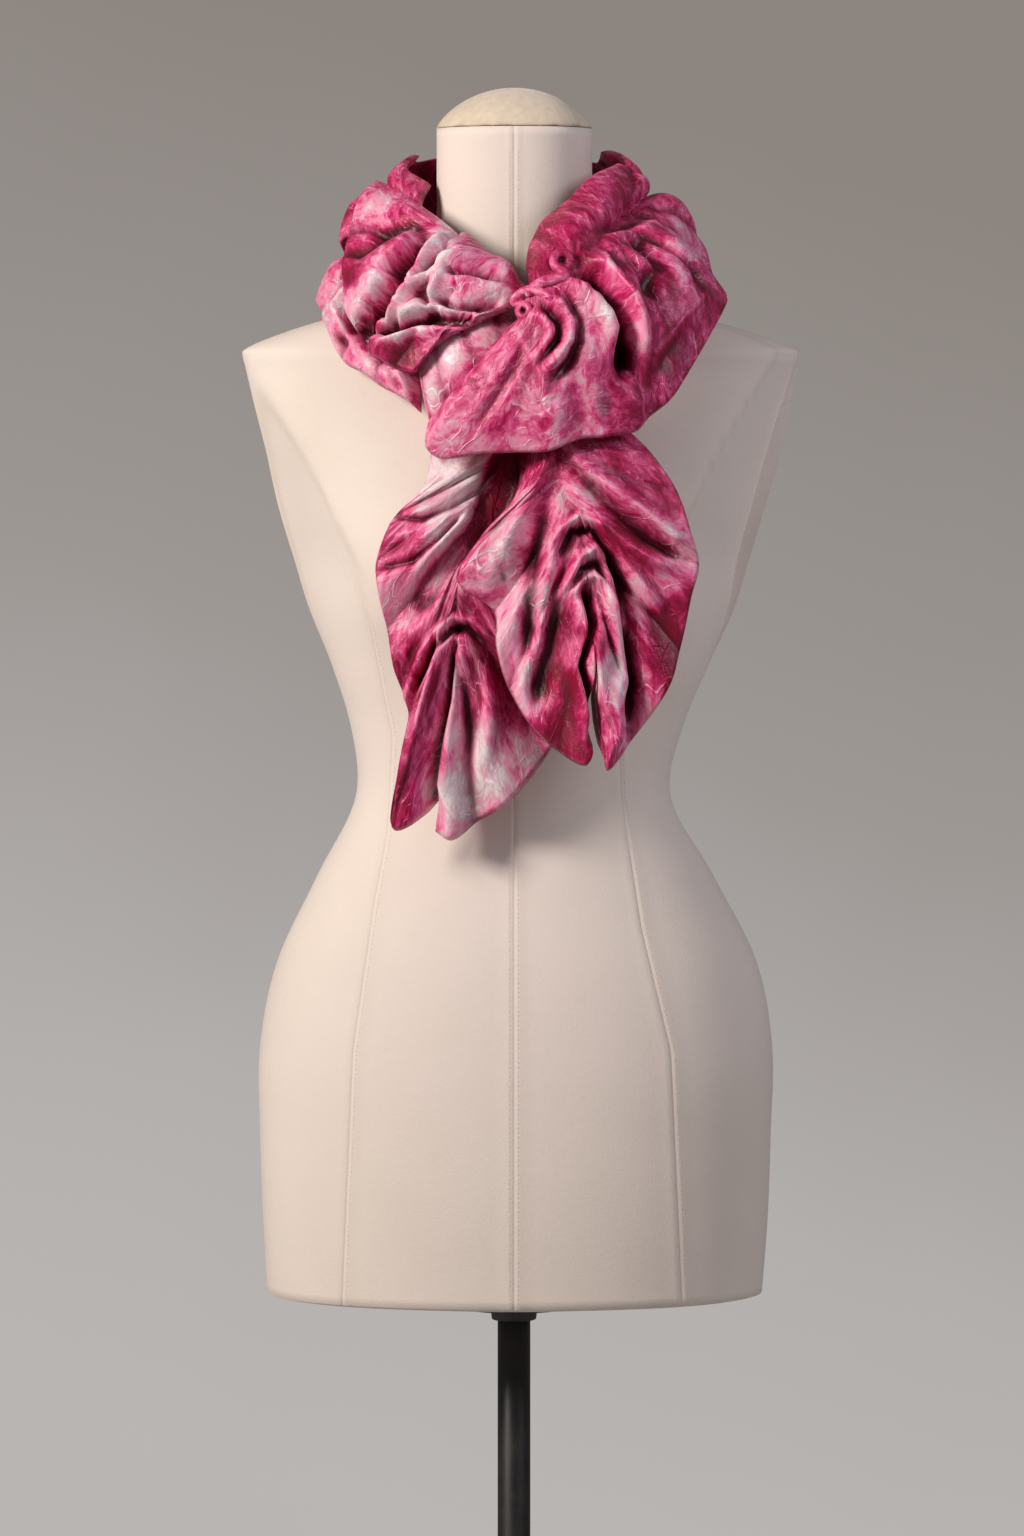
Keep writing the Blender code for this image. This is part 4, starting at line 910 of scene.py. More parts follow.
def torso_ring(row, between):
    """One ring of the torso: columns that follow the seams, and how much seam each holds."""
    section = Section(*row)
    half = 0.5 * (section.left + section.right)
    turns, lifts, marks = [], [], []
    # round from the right side seam by the front to the left, then by the back
    ordered = SEAMS[2::-1] + SEAMS[:2:-1]
    starts = [seam_turn(seam, section, section.high) for seam in ordered]
    starts.append(starts[0] + 2 * math.pi)
    speeds = []
    for start in starts:
        a, b = (body_point(section, start + step) for step in (-0.01, 0.01))
        speeds.append(math.hypot(a[0] - b[0], a[1] - b[1]) / 0.02)
    for k, seam in enumerate(ordered):
        speed = speeds[k]
        rows = np.array(seam.depth, dtype=float)
        depth = float(np.interp(section.high, rows[:, 0], rows[:, 1]))
        first, last = SEAM_PROFILE[0][0] / speeds[k + 1], SEAM_PROFILE[-1][0] / speed
        for apart, lift in SEAM_PROFILE:
            turns.append(starts[k] + apart / speed)
            lifts.append(lift * depth)
            marks.append(depth * math.exp(-(apart / 0.55) ** 2) * 0.55
                         + depth * 0.16 * math.exp(-((abs(apart) - 5.2) / 0.8) ** 2))
        begin, end = starts[k] + last, starts[k + 1] + first
        for step in range(1, between + 1):
            turns.append(begin + (end - begin) * step / (between + 1))
            lifts.append(0.0)
            marks.append(0.0)
    ring, seam_marks = [], []
    for turn, lift, mark in zip(turns, lifts, marks):
        x, out = body_point(section, turn)
        near = body_point(section, turn + 0.004)
        nx, no = near[1] - out, -(near[0] - x)
        size = math.hypot(nx, no) or 1.0
        x, out = x + lift * nx / size, out + lift * no / size
        x, out, piped = pressed_flat(x, out, section.high, half)
        ring.append((x, section.high, out))
        seam_marks.append(mark + 0.25 * piped)
    return ring, seam_marks


def torso_rows(pitch):
    """Sections of the torso, one for each ring, closer where the shoulders turn over."""
    highs = [section.high for section in BODY_SECTIONS]
    count = int(round((highs[-1] - highs[0]) / pitch)) + 1
    extra = np.arange(*SHOULDER_ROWS)
    fine = np.unique(np.round(np.concatenate([np.linspace(highs[0], highs[-1], count), extra]), 2))
    return curve(highs, np.array(BODY_SECTIONS, dtype=float), fine)


def lathe(name, profile, sides, coat):
    """Turned solid about the stand's axis from (radius, z) rows in mm."""
    turns = [2 * math.pi * k / sides for k in range(sides)]
    verts = [(radius * math.cos(turn) * MM, radius * math.sin(turn) * MM, high * MM)
             for radius, high in profile for turn in turns]
    return loft(name, verts, sides, coat)


# ---------------------------------------------------------------- cloth
def gather_line(stretch, u):
    """The gathering thread's way along a stretch."""
    return curve(np.linspace(0, 1, len(stretch.gather)), world(stretch.gather), u)


def side_of_stretch(stretch, folds, u, v):
    """One side of a stretch: its smooth form and its listed folds, gather to edge."""
    ats = [fold.at for fold in folds]
    start = gather_line(stretch, u)
    end = curve(ats, world([(fold.x, fold.high, fold.out) for fold in folds]), u)
    rises = np.array([fold.rise for fold in folds], dtype=float)
    rise = ridged(ats, rises, u) * MM
    level = np.interp(u, (0, 0.5, 1), (rises[:5].mean(), rises.mean(), rises[-5:].mean())) * MM
    ray = unit(end - start)
    away = outward(0.5 * (start + end))
    away = unit(away - dot(away, ray) * ray)
    v = v[None, :, None]
    swell = np.sin(np.pi * v ** 0.8)
    fading = 1 - (1 - stretch.keep) * np.clip((v - 0.5) / 0.5, 0, 1) ** 1.2
    deepen = stretch.strength * np.minimum(1, v / 0.42) ** 1.2 * fading
    form = start[:, None] + (end - start)[:, None] * v + away[:, None] * level[:, None, None] * swell
    folds = form + away[:, None] * (rise - level)[:, None, None] * deepen
    return form, folds, away


def creased(points, away, creases):
    """Adds the listed ridges and troughs, where the cloth is seen from the front."""
    x, high = points[..., 0] / MM, points[..., 2] / MM - DATUM
    front = np.clip(-points[..., 1] / MM / CREASE_FADE, 0, 1)[..., None] * MM
    move = np.zeros(points.shape)
    for crease in creases:
        nearest = np.full(x.shape, np.inf)
        along = np.zeros(x.shape)
        across = np.zeros(points.shape)
        done = 0.0
        for (x0, high0), (x1, high1) in zip(crease.path[:-1], crease.path[1:]):
            run, climb = x1 - x0, high1 - high0
            size = math.hypot(run, climb)
            part = np.clip(((x - x0) * run + (high - high0) * climb) / size ** 2, 0, 1)
            way = (x - x0 - part * run) ** 2 + (high - high0 - part * climb) ** 2
            side = math.copysign(1.0, -climb) / size
            closer = way < nearest
            across[closer] = (-climb * side, 0.0, run * side)
            along[closer] = done + part[closer] * size
            nearest = np.minimum(nearest, way)
            done += size
        fade = min(2.2 * crease.width, 0.4 * done)
        whole = np.clip(0.3 + 0.7 * np.minimum(along, done - along) / fade, 0, 1)
        share = (whole * np.exp(-nearest / crease.width ** 2))[..., None]
        move += crease.rise * share * away + crease.lean * share * across
    return points + front * move


def across_steps(count):
    """Steps from the gather to the folded edge, closer at both ends."""
    t = np.linspace(0, 1, count)
    return t - 0.42 * np.sin(2 * np.pi * t) / (2 * np.pi)


def stretch_form(stretch, rows, outer_cols, inner_cols):
    """Both sides of a stretch as one grid: form, placed folds, outward headings, v."""
    u = np.linspace(0, 1, rows)
    near, far = across_steps(outer_cols), across_steps(inner_cols)
    form_a, folds_a, away_a = side_of_stretch(stretch, stretch.outer, u, near)
    form_b, folds_b, away_b = side_of_stretch(stretch, stretch.inner, u, far)
    v = np.concatenate([-far[:0:-1], near])
    form = np.concatenate([form_b[:, :0:-1], form_a], axis=1)
    folds = np.concatenate([folds_b[:, :0:-1], folds_a], axis=1)
    blend = np.clip(0.5 + v / 0.5, 0, 1)[None, :, None]
    away = unit(away_b[:, None] * (1 - blend) + away_a[:, None] * blend)
    return form, folds, away, v


def carried_height(form, away, tree):
    """How high what lies beneath reaches, along each outward heading."""
    reach = 0.045
    height = np.full(form.shape[:2], -0.03)
    for i in range(form.shape[0]):
        for j in range(form.shape[1]):
            heading = Vector(away[i, j])
            hit = tree.ray_cast(Vector(form[i, j]) + heading * reach, -heading, reach + 0.03)
            if hit[0] is not None:
                height[i, j] = reach - hit[3]
    return height


def bend(points, axis, soft, stiff):
    """Bending: soft straightens all, stiff only what turns sharply."""
    points = np.moveaxis(points, axis, 0)
    turn = np.zeros_like(points)
    turn[1:-1] = 0.5 * (points[2:] + points[:-2]) - points[1:-1]
    again = np.zeros_like(points)
    again[1:-1] = 0.5 * (turn[2:] + turn[:-2]) - turn[1:-1]
    points = points + soft * turn - stiff * again
    return np.moveaxis(points, 0, axis)


def relax(points, form, target, away, floor, rest_u, rest_v, hold_along, hold_out, rounds):
    """Lets the cloth find its flat lengths: spare length buckles outwards into folds. Weak
    threads across each cell let the weave shear but not collapse."""
    skew = np.sqrt(
        (0.5 * (rest_u[:, 1:] + rest_u[:, :-1])) ** 2 + (0.5 * (rest_v[1:] + rest_v[:-1])) ** 2)
    for _ in range(rounds):
        move = np.zeros_like(points)
        for (a, b), rest, strength in zip(
                NEIGHBOURS, (rest_u, rest_v, skew, skew), (0.8, 0.8, 0.12, 0.12)):
            step = points[b] - points[a]
            length = np.maximum(np.linalg.norm(step, axis=-1), 1e-7)
            share = (0.5 * strength * (1 - rest / length))[..., None] * step
            move[a] += share
            move[b] -= share
        points = points + move
        points = target + bend(bend(points - target, 0, 0.010, 0.28), 1, 0.08, 0.20)
        gap = target - points
        rising = dot(gap, away) * away
        points = points + hold_along * (gap - rising) + hold_out * rising
        height = dot(points - form, away)
        points = points + np.maximum(floor - height, 0) * away
    return points


def flat_density(stretch, fullness):
    """Flat length of cloth for each step of u, from the longest line along the stretch."""
    u = np.linspace(0, 1, 401)
    runs = []
    for folds in (stretch.outer, stretch.inner):
        _, edge, _ = side_of_stretch(stretch, folds, u, np.array([1.0]))
        runs.append(np.linalg.norm(np.diff(edge[:, 0], axis=0), axis=1) * 400)
    line = gather_line(stretch, u)
    runs.append(fullness * np.linalg.norm(np.diff(line, axis=0), axis=1) * 400)
    most = np.max(runs, axis=0)
    kernel = np.hanning(41) / np.hanning(41).sum()
    most = np.convolve(np.pad(most, 20, mode="edge"), kernel, mode="valid")
    return 0.5 * (u[1:] + u[:-1]), most


def placed_folds(stretch, form, folds, away, v, floor, flat_length, finest):
    """The placed folds, wandering a little so that none runs dead straight, with soft dents
    and the creases that the grid is fine enough to hold, over what lies beneath."""
    side = unit(np.gradient(form, axis=0))
    shape = form.shape[:2]
    swing = wander(shape, (flat_length / 0.045, 3), stretch.seed) * np.sin(np.pi * np.abs(v))
    dents = wander(shape, (flat_length / 0.028, 5), stretch.seed + 9) * np.minimum(1, 3 * np.abs(v))
    target = folds + side * (swing * 0.0045)[..., None] + away * (dents * 0.0014)[..., None]
    raised = np.maximum(dot(target - form, away), floor + 0.0015)
    target = target + (raised - dot(target - form, away)) * away
    return creased(target, away, [crease for crease in stretch.creases if crease.width > finest])


def rest_lengths(stretch, form, target, v, step, ramp_in):
    """Flat length of each step of the grid, along and across the stretch."""
    spare = (0.85 - 0.6 * np.abs(v) ** 1.5) * ramp_in * stretch.ease * np.where(
        v < 0, stretch.inner_full, 1)
    # a stretch that is pulled taut at its start has little spare length there
    slack = 1 - stretch.calm * np.clip(1 - np.linspace(0, 1, len(step)) / 0.3, 0, 1)
    most = 1 + spare[None, :] * slack[:, None]
    (laid, across), (placed, over) = (
        [np.linalg.norm(np.diff(skin, axis=axis), axis=-1) for axis in (0, 1)]
        for skin in (form, target))
    along = laid * np.clip(step[:, None] / np.maximum(laid, 1e-6), 1, most)
    return np.maximum(along, 0.98 * placed), np.maximum(across * 1.015, 0.98 * over)


def hold(v, count, edge_rows):
    """How firmly each point keeps to its placed fold: along the cloth, and outwards."""
    edge = np.clip((np.abs(v) - 0.86) / 0.14, 0, 1)[None, :, None] * np.ones((count, 1, 1))
    ends = np.clip(1 - np.minimum(np.arange(count), np.arange(count)[::-1]) / edge_rows, 0, 1)
    edge = np.maximum(edge, ends[:, None, None])
    seam = (np.abs(v) < 1e-6)[None, :, None]
    return np.where(seam, 1.0, 0.03 + 0.22 * edge), np.where(seam, 0.6, 0.028 + 0.06 * edge)


def shape_cloth(stretch, tree):
    """Front layer of one stretch: given folds, relaxed on finer and finer grids."""
    sizes = bpy.context.scene.scarf_sizes
    mids, density = flat_density(stretch, sizes.fullness)
    flat_length = density.mean()
    spans = []
    for folds in (stretch.outer, stretch.inner):
        form, _, _ = side_of_stretch(stretch, folds, np.linspace(0, 1, 60), np.array([0.0, 0.5, 1.0]))
        spans.append(np.linalg.norm(np.diff(form, axis=1), axis=-1).sum(axis=1).mean())
    rows = int(round(flat_length / sizes.cell))
    outer, inner = (max(6, int(round(span / (0.9 * sizes.cell)))) for span in spans)
    form, _, away, _ = stretch_form(stretch, 2 * rows + 1, 2 * outer + 1, 2 * inner + 1)
    carried = carried_height(form, away, tree) + (sizes.tube_gap + sizes.clearance)
    clear = np.maximum(blurred(lowest_near(carried, 1, np.maximum), 3), carried)
    points = last = None
    for level, (ramp_way, rounds, ripple) in enumerate(ROUNDS):
        times = 2 ** level
        finishing = level == len(ROUNDS) - 1
        count = rows * times + 1
        form, folds, away, v = stretch_form(stretch, count, outer * times + 1, inner * times + 1)
        shape = form.shape[:2]
        floor = resized(clear, shape)[..., None]
        finest = 0 if finishing else 0.95 * sizes.cell / MM / times
        target = placed_folds(stretch, form, folds, away, v, floor, flat_length, finest)
        points = target if last is None else target + resized(points - last, shape)
        last = target
        mid = (np.arange(count - 1) + 0.5) / (count - 1)
        step = density[np.clip(np.searchsorted(mids, mid), 0, len(density) - 1)] / (count - 1)
        way = np.abs(np.where(v > 0, v * spans[0], v * spans[1]))
        ramp_in = smooth(np.clip(way / ramp_way, 0, 1))
        rest_u, rest_v = rest_lengths(stretch, form, target, v, step, ramp_in)
        noise = wander(shape, (count / 7, shape[1] / 12), stretch.seed + 5 + level)
        points = points + away * (noise * ripple * ramp_in[None, :])[..., None]
        points = relax(points, form, target, away, floor, rest_u, rest_v, *hold(v, count, 3 * times),
                       QUICK_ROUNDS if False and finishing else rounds)
    flat_u = np.concatenate([[0], np.cumsum(step)])
    flat_v = np.concatenate([[0], np.cumsum(rest_v.mean(axis=0))])
    flat_v -= flat_v[np.argmin(np.abs(v))]
    cells = np.cross(points[1:, 1:] - points[:-1, :-1], points[1:, :-1] - points[:-1, 1:])
    one_layer = 0.5 * float(np.linalg.norm(cells, axis=-1).sum())
    return points, form, away, v, flat_u, flat_v, 2 * one_layer


def dye_tone(points, stains, plain, seed):
    """Dye at each point, and the shade that some stains paint: the stains seen from the front, the plain
    tone elsewhere.
    """
    x, high = points[..., 0] / MM, points[..., 2] / MM - DATUM
    shape = points.shape[:2]
    x = x + 4.0 * wander(shape, (shape[0] / 14, shape[1] / 14), seed + 1)
    high = high + 4.0 * wander(shape, (shape[0] / 14, shape[1] / 14), seed + 2)
    total = np.full(shape, 0.06)
    tone = total * plain
    for stain in stains:
        weight = np.exp(-((x - stain.x) ** 2 + (high - stain.high) ** 2) / (1.1 * stain.reach ** 2))
        tone += weight * stain.tone
        total += weight
    front = np.clip(-points[..., 1] / MM / STAIN_FADE, 0, 1)
    wide = plain + 0.26 * wander(shape, (shape[0] / 40, shape[1] / 26), seed + 3)
    return tone / total * front + wide * (1 - front)


def grid_quads(index, corners=(0, 1, 2, 3)):
    """Quads over a grid of point numbers, their corners taken in the order given."""
    quads = np.stack([index[:-1, :-1], index[1:, :-1], index[1:, 1:], index[:-1, 1:]], -1)
    return quads[..., corners].reshape(-1, 4).tolist()


def tube_mesh(name, points, form, away, v, flat_u, flat_v, stretch, coat):
    """Closed velvet tube: the folded front layer, a calmer back layer, a hollow between."""
    sizes = bpy.context.scene.scarf_sizes
    rows, cols = points.shape[:2]
    height = dot(points - form, away)[..., 0]
    drift = points - form - height[..., None] * away
    low = np.minimum(blurred(lowest_near(height, 3), 3), height)
    calm = np.stack([blurred(drift[..., k], 8) for k in range(3)], axis=-1)
    back = form + calm + away * (low - sizes.tube_gap)[..., None]
    gaps = [np.linalg.norm(np.diff(form, axis=axis), axis=-1).mean(axis=1 - axis) for axis in (0, 1)]
    ways = [np.concatenate([[0], np.cumsum(gap)]) for gap in gaps]
    from_u, from_v = (np.minimum(way, way[-1] - way) for way in ways)
    near = np.clip(np.minimum(from_v[None, :], from_u[:, None]) / sizes.edge_round, 0, 1)
    front = back + (points - back) * np.sqrt(1 - (1 - near) ** 2)[..., None]
    sign = dot(np.cross(np.gradient(front, axis=0), np.gradient(front, axis=1)), away).mean()

    index = np.arange(rows * cols).reshape(rows, cols)
    verts = [front.reshape(-1, 3)]
    faces = grid_quads(index)
    # back layer at half the density, sharing the folded edge
    spots = np.full((rows // 2 + 1, cols // 2 + 1), -1)
    spots[[0, -1], :] = index[[0, -1], ::2]
    spots[:, [0, -1]] = index[::2, [0, -1]]
    inner_back = back[2:-2:2, 2:-2:2]
    spots[1:-1, 1:-1] = rows * cols + np.arange(inner_back[..., 0].size).reshape(inner_back.shape[:2])
    verts.append(inner_back.reshape(-1, 3))
    last_i, last_j = spots.shape[0] - 2, spots.shape[1] - 2
    for i in range(last_i + 1):
        for j in range(last_j + 1):
            around = [spots[i, j], spots[i, j + 1], spots[i + 1, j + 1], spots[i + 1, j]]
            # on the edge, the front layer's point between two of the back's joins them
            for side, on_edge, between in (
                    (3, i == last_i, index[-1, 2 * j + 1]), (2, j == last_j, index[2 * i + 1, -1]),
                    (1, i == 0, index[0, 2 * j + 1]), (0, j == 0, index[2 * i + 1, 0])):
                if on_edge:
                    around.insert(side, between)
            faces.append([int(k) for k in around])
    # hollow between the layers, a quarter of the density
    inset = slice(4, -4, 4)
    hollow = [(form + calm + away * (low - sizes.tube_gap * share)[..., None])[inset, inset]
              for share in (0.36, 0.64)]
    start = sum(len(part) for part in verts)
    high_rows, high_cols = hollow[0].shape[:2]
    upper = start + np.arange(high_rows * high_cols).reshape(high_rows, high_cols)
    lower = upper.copy()
    count = (high_rows - 2) * (high_cols - 2)
    lower[1:-1, 1:-1] = start + upper.size + np.arange(count).reshape(high_rows - 2, high_cols - 2)
    verts += [hollow[0].reshape(-1, 3), hollow[1][1:-1, 1:-1].reshape(-1, 3)]
    faces += grid_quads(upper, (0, 3, 2, 1)) + grid_quads(lower)
    if sign < 0:
        faces = [face[::-1] for face in faces]
    everything = np.concatenate(verts)
    made = mesh_object(name, everything, faces, coat)

    # the pattern's own coordinates: metres of flat cloth along and across
    uv = np.zeros((len(everything), 2))
    flat = np.stack(np.broadcast_arrays(flat_u[:, None], flat_v[None, :]), axis=-1)
    uv[:rows * cols] = flat.reshape(-1, 2)
    behind = flat[2:-2:2, 2:-2:2].copy()
    behind[..., 1] = np.where(behind[..., 1] > 0, 2 * flat_v[-1] - behind[..., 1],
                              2 * flat_v[0] - behind[..., 1])
    uv[rows * cols:start] = behind.reshape(-1, 2)
    tone = np.full(len(everything), stretch.tone)
    tone[:rows * cols] = dye_tone(front, stretch.stains, stretch.tone, stretch.seed).ravel()
    tone[rows * cols:start] = tone[:rows * cols].reshape(rows, cols)[2:-2:2, 2:-2:2].ravel()
    # fold depth for painted shade: points below the cloth round them get darker, points above it lighter as
    # painted highlight
    sunk = np.zeros(len(everything))
    near_dip, wide_dip = blurred(height, 30) - height, blurred(height, 160) - height
    sunk[:rows * cols] = np.clip(near_dip / NEAR_DIP + wide_dip / WIDE_DIP, -1, 1).ravel()
    give_pattern(made, uv + stretch.seed * 0.37, tone, sunk)
    return made


def covering(node):
    """Name of the finished piece that stands for a node."""
    return node + ("_velvet" if node.startswith("scarf") else "_cover")


def carrier_tree(nodes):
    """Search tree over the pieces that a stretch lies on."""
    verts, faces = [], []
    for node in nodes:
        mesh = bpy.data.objects[covering(node)].data
        mesh.calc_loop_triangles()
        spots = np.empty(len(mesh.vertices) * 3)
        mesh.vertices.foreach_get("co", spots)
        corners = np.empty(len(mesh.loop_triangles) * 3, dtype=np.int64)
        mesh.loop_triangles.foreach_get("vertices", corners)
        faces += (corners.reshape(-1, 3) + len(verts)).tolist()
        verts += spots.reshape(-1, 3).tolist()
    return BVHTree.FromPolygons(verts, faces)


def make_stretch(key, trim=None):
    """Builds one stretch of the scarf, with the trim rolled on it."""
    stretch = STRETCHES[key]
    points, form, away, v, flat_u, flat_v, area = shape_cloth(stretch, carrier_tree(stretch.rests))
    made = tube_mesh(covering(stretch.piece), points, form, away, v, flat_u, flat_v,
                     stretch, velvet())
    finish_piece(made, [stretch.piece])
    [trim(made)] if trim else []


# ---------------------------------------------------------------- operators
class SCARF_OT_torso(bpy.types.Operator):
    """Builds the covered torso with its seams, flat armhole plates and closed underside"""
    bl_idname = "scarf.torso"
    bl_label = "Dress form torso"

    def execute(self, context):
        sizes = context.scene.scarf_form
        rings, marks = [], []
        for row in torso_rows(sizes.ring_pitch / MM):
            ring, mark = torso_ring(row, sizes.between)
            rings.append(ring)
            marks += mark
        # the cover turns under at the hem and closes the underside down to the plate
        under = [[(x * share, high, out * share) for x, _, out in rings[0]] for high, share in HEM_TURN]
        sides = len(rings[0])
        made = loft("form_torso_cover", world(sum(under + rings, [])), sides, jersey())
        give_values(made, seam=[0.0] * (len(under) * sides) + marks)
        finish_piece(made, ["form_torso", "form_underside_panel"])
        return {"FINISHED"}


class SCARF_OT_neck_cap(bpy.types.Operator):
    """Builds the domed cotton cap on the neck, its lower edge cut a little ragged"""
    bl_idname = "scarf.neck_cap"
    bl_label = "Neck cap"

    def execute(self, context):
        points, marks = [], []
        sides, steps = 160, 22
        rng = np.random.default_rng(7)
        ragged = np.convolve(np.tile(rng.uniform(-1, 1, sides), 3), np.hanning(5), mode="same")
        ragged = ragged[sides:2 * sides]
        rows = [(0.0, 0.965)]
        for k in range(steps + 1):
            rise = math.sin(0.5 * math.pi * k / steps * 0.985)
            rows.append((rise, math.sqrt(1.0 - rise ** 1.35)))
        for number, (rise, reach) in enumerate(rows):
            high = NECK_TOP + 0.35 + (CAP_TOP - NECK_TOP) * rise
            section = Section(high, 54.2 * reach, 54.7 * reach, 52.2 * reach, 56.2 * reach)
            fray = max(0.0, 1.0 - rise / 0.12)
            for k in range(sides):
                x, out = body_point(section, 2 * math.pi * k / sides)
                lift = 0.35 * (ragged[k] + 1.0) * fray * (number == 1)
                marks.append(fray * (0.75 if number == 0 else 0.35 * max(0.0, ragged[k])))
                points.append((x, high + lift, out))
        made = loft("form_neck_cap_cotton", world(points), sides, cap_cotton(), flat_ends=False)
        give_values(made, seam=marks)
        finish_piece(made, ["form_neck_cap"])
        return {"FINISHED"}


class SCARF_OT_stand(bpy.types.Operator):
    """Builds the stand: top plate, pole and round base"""
    bl_idname = "scarf.stand"
    bl_label = "Stand"

    def execute(self, context):
        steel = black_steel()
        for part in STAND:
            made = lathe(part.node + "_turned", part.profile, part.sides, steel)
            finish_piece(made, [part.node])
        return {"FINISHED"}


def stitch_tree():
    """Geometry Nodes: thread stitches at an even pitch along a line, sunk into the cloth."""
    tree = bpy.data.node_groups.new("seam_stitches", "GeometryNodeTree")
    ports = tree.interface
    ports.new_socket("Geometry", in_out="OUTPUT", socket_type="NodeSocketGeometry")
    for title, kind, default in (
            ("Geometry", "Geometry", None), ("Pitch", "Float", 0.0032), ("Length", "Float", 0.0021),
            ("Thread", "Float", 0.0004), ("Seed", "Int", 3), ("Material", "Material", None)):
        port = ports.new_socket(title, in_out="INPUT", socket_type="NodeSocket" + kind)
        if default is not None:
            port.default_value = default
    add = functools.partial(add_node, tree)
    given = add("NodeGroupInput")
    line = add("GeometryNodeMeshToCurve", {"Mesh": given["Geometry"]})["Curve"]
    even = add("GeometryNodeResampleCurve", {"Curve": line, "Length": given["Pitch"]},
               mode="LENGTH")["Curve"]
    dots = add("GeometryNodeCurveToPoints", {"Curve": even}, mode="EVALUATED")
    rod = add("GeometryNodeMeshUVSphere", {"Segments": 6, "Rings": 4, "Radius": 0.5})["Mesh"]
    wobble = add("FunctionNodeRandomValue", {2: 0.85, 3: 1.12, "Seed": given["Seed"]},
                 data_type="FLOAT")[1]
    long = add("ShaderNodeMath", {0: given["Length"], 1: wobble}, operation="MULTIPLY")[0]
    size = add("ShaderNodeCombineXYZ", {"X": given["Thread"], "Y": given["Thread"], "Z": long})[0]
    placed = add("GeometryNodeInstanceOnPoints", {
        "Points": dots["Points"], "Instance": rod, "Rotation": dots["Rotation"], "Scale": size})
    real = add("GeometryNodeRealizeInstances", {"Geometry": placed["Instances"]})["Geometry"]
    smooth = add("GeometryNodeSetShadeSmooth", {"Geometry": real})["Geometry"]
    coated = add("GeometryNodeSetMaterial", {"Geometry": smooth, "Material": given["Material"]})
    add("NodeGroupOutput", {"Geometry": coated["Geometry"]})
    return tree


def stitched(name, lines, inputs):
    """Plain mesh of stitches along lines of positions."""
    edges, start = [], 0
    for line in lines:
        edges += [(start + k, start + k + 1) for k in range(len(line) - 1)]
        start += len(line)
    mesh = bpy.data.meshes.new(name + "_line")
    mesh.from_pydata([tuple(spot) for line in lines for spot in line], edges, [])
    guide = bpy.data.objects.new(name + "_line", mesh)
    bpy.context.collection.objects.link(guide)
    modifier = guide.modifiers.new("stitches", "NODES")
    modifier.node_group = stitch_tree()
    for item in modifier.node_group.interface.items_tree:
        if item.in_out == "INPUT" and item.name in inputs:
            modifier[item.identifier] = inputs[item.name]
    graph = bpy.context.evaluated_depsgraph_get()
    plain = bpy.data.meshes.new_from_object(guide.evaluated_get(graph))
    plain.name = name
    bpy.data.objects.remove(guide)
    made = bpy.data.objects.new(name, plain)
    bpy.context.collection.objects.link(made)
    return made


class SCARF_OT_seam_stitches(bpy.types.Operator):
    """Sews the dress form's cover: a row of stitches down each side of its centre seams and one beside each
    princess seam
    """
    bl_idname = "scarf.seam_stitches"
    bl_label = "Seam stitches"

    def execute(self, context):
        sizes = context.scene.scarf_form
        cover = bpy.data.objects["form_torso_cover"]
        tree = BVHTree.FromObject(cover, context.evaluated_depsgraph_get())
        lines = []
        for seam in (seam for seam in SEAMS if seam.side):
            ats, places = np.array(seam.path, dtype=float).T
            for apart in (-3.0, 3.0) if "centre" in seam.name else (2.6,):
                line = []
                for high in np.arange(12, min(seam.depth[-1][0] - 12, 818), 6.0):
                    x = float(np.interp(high, ats, places)) + apart
                    start = Vector((x * MM, -seam.side * 0.3, (high + DATUM) * MM))
                    hit = tree.ray_cast(start, Vector((0, seam.side, 0)))
                    if hit[0] is not None:
                        line.append(hit[0] + hit[1] * 0.00005)
                lines.append(line)
        made = stitched("form_seam_stitches", lines, {
            "Pitch": sizes.stitch_pitch, "Length": sizes.stitch_long, "Thread": sizes.thread,
            "Material": sewing_thread()})
        finish_piece(made, [])
        return {"FINISHED"}


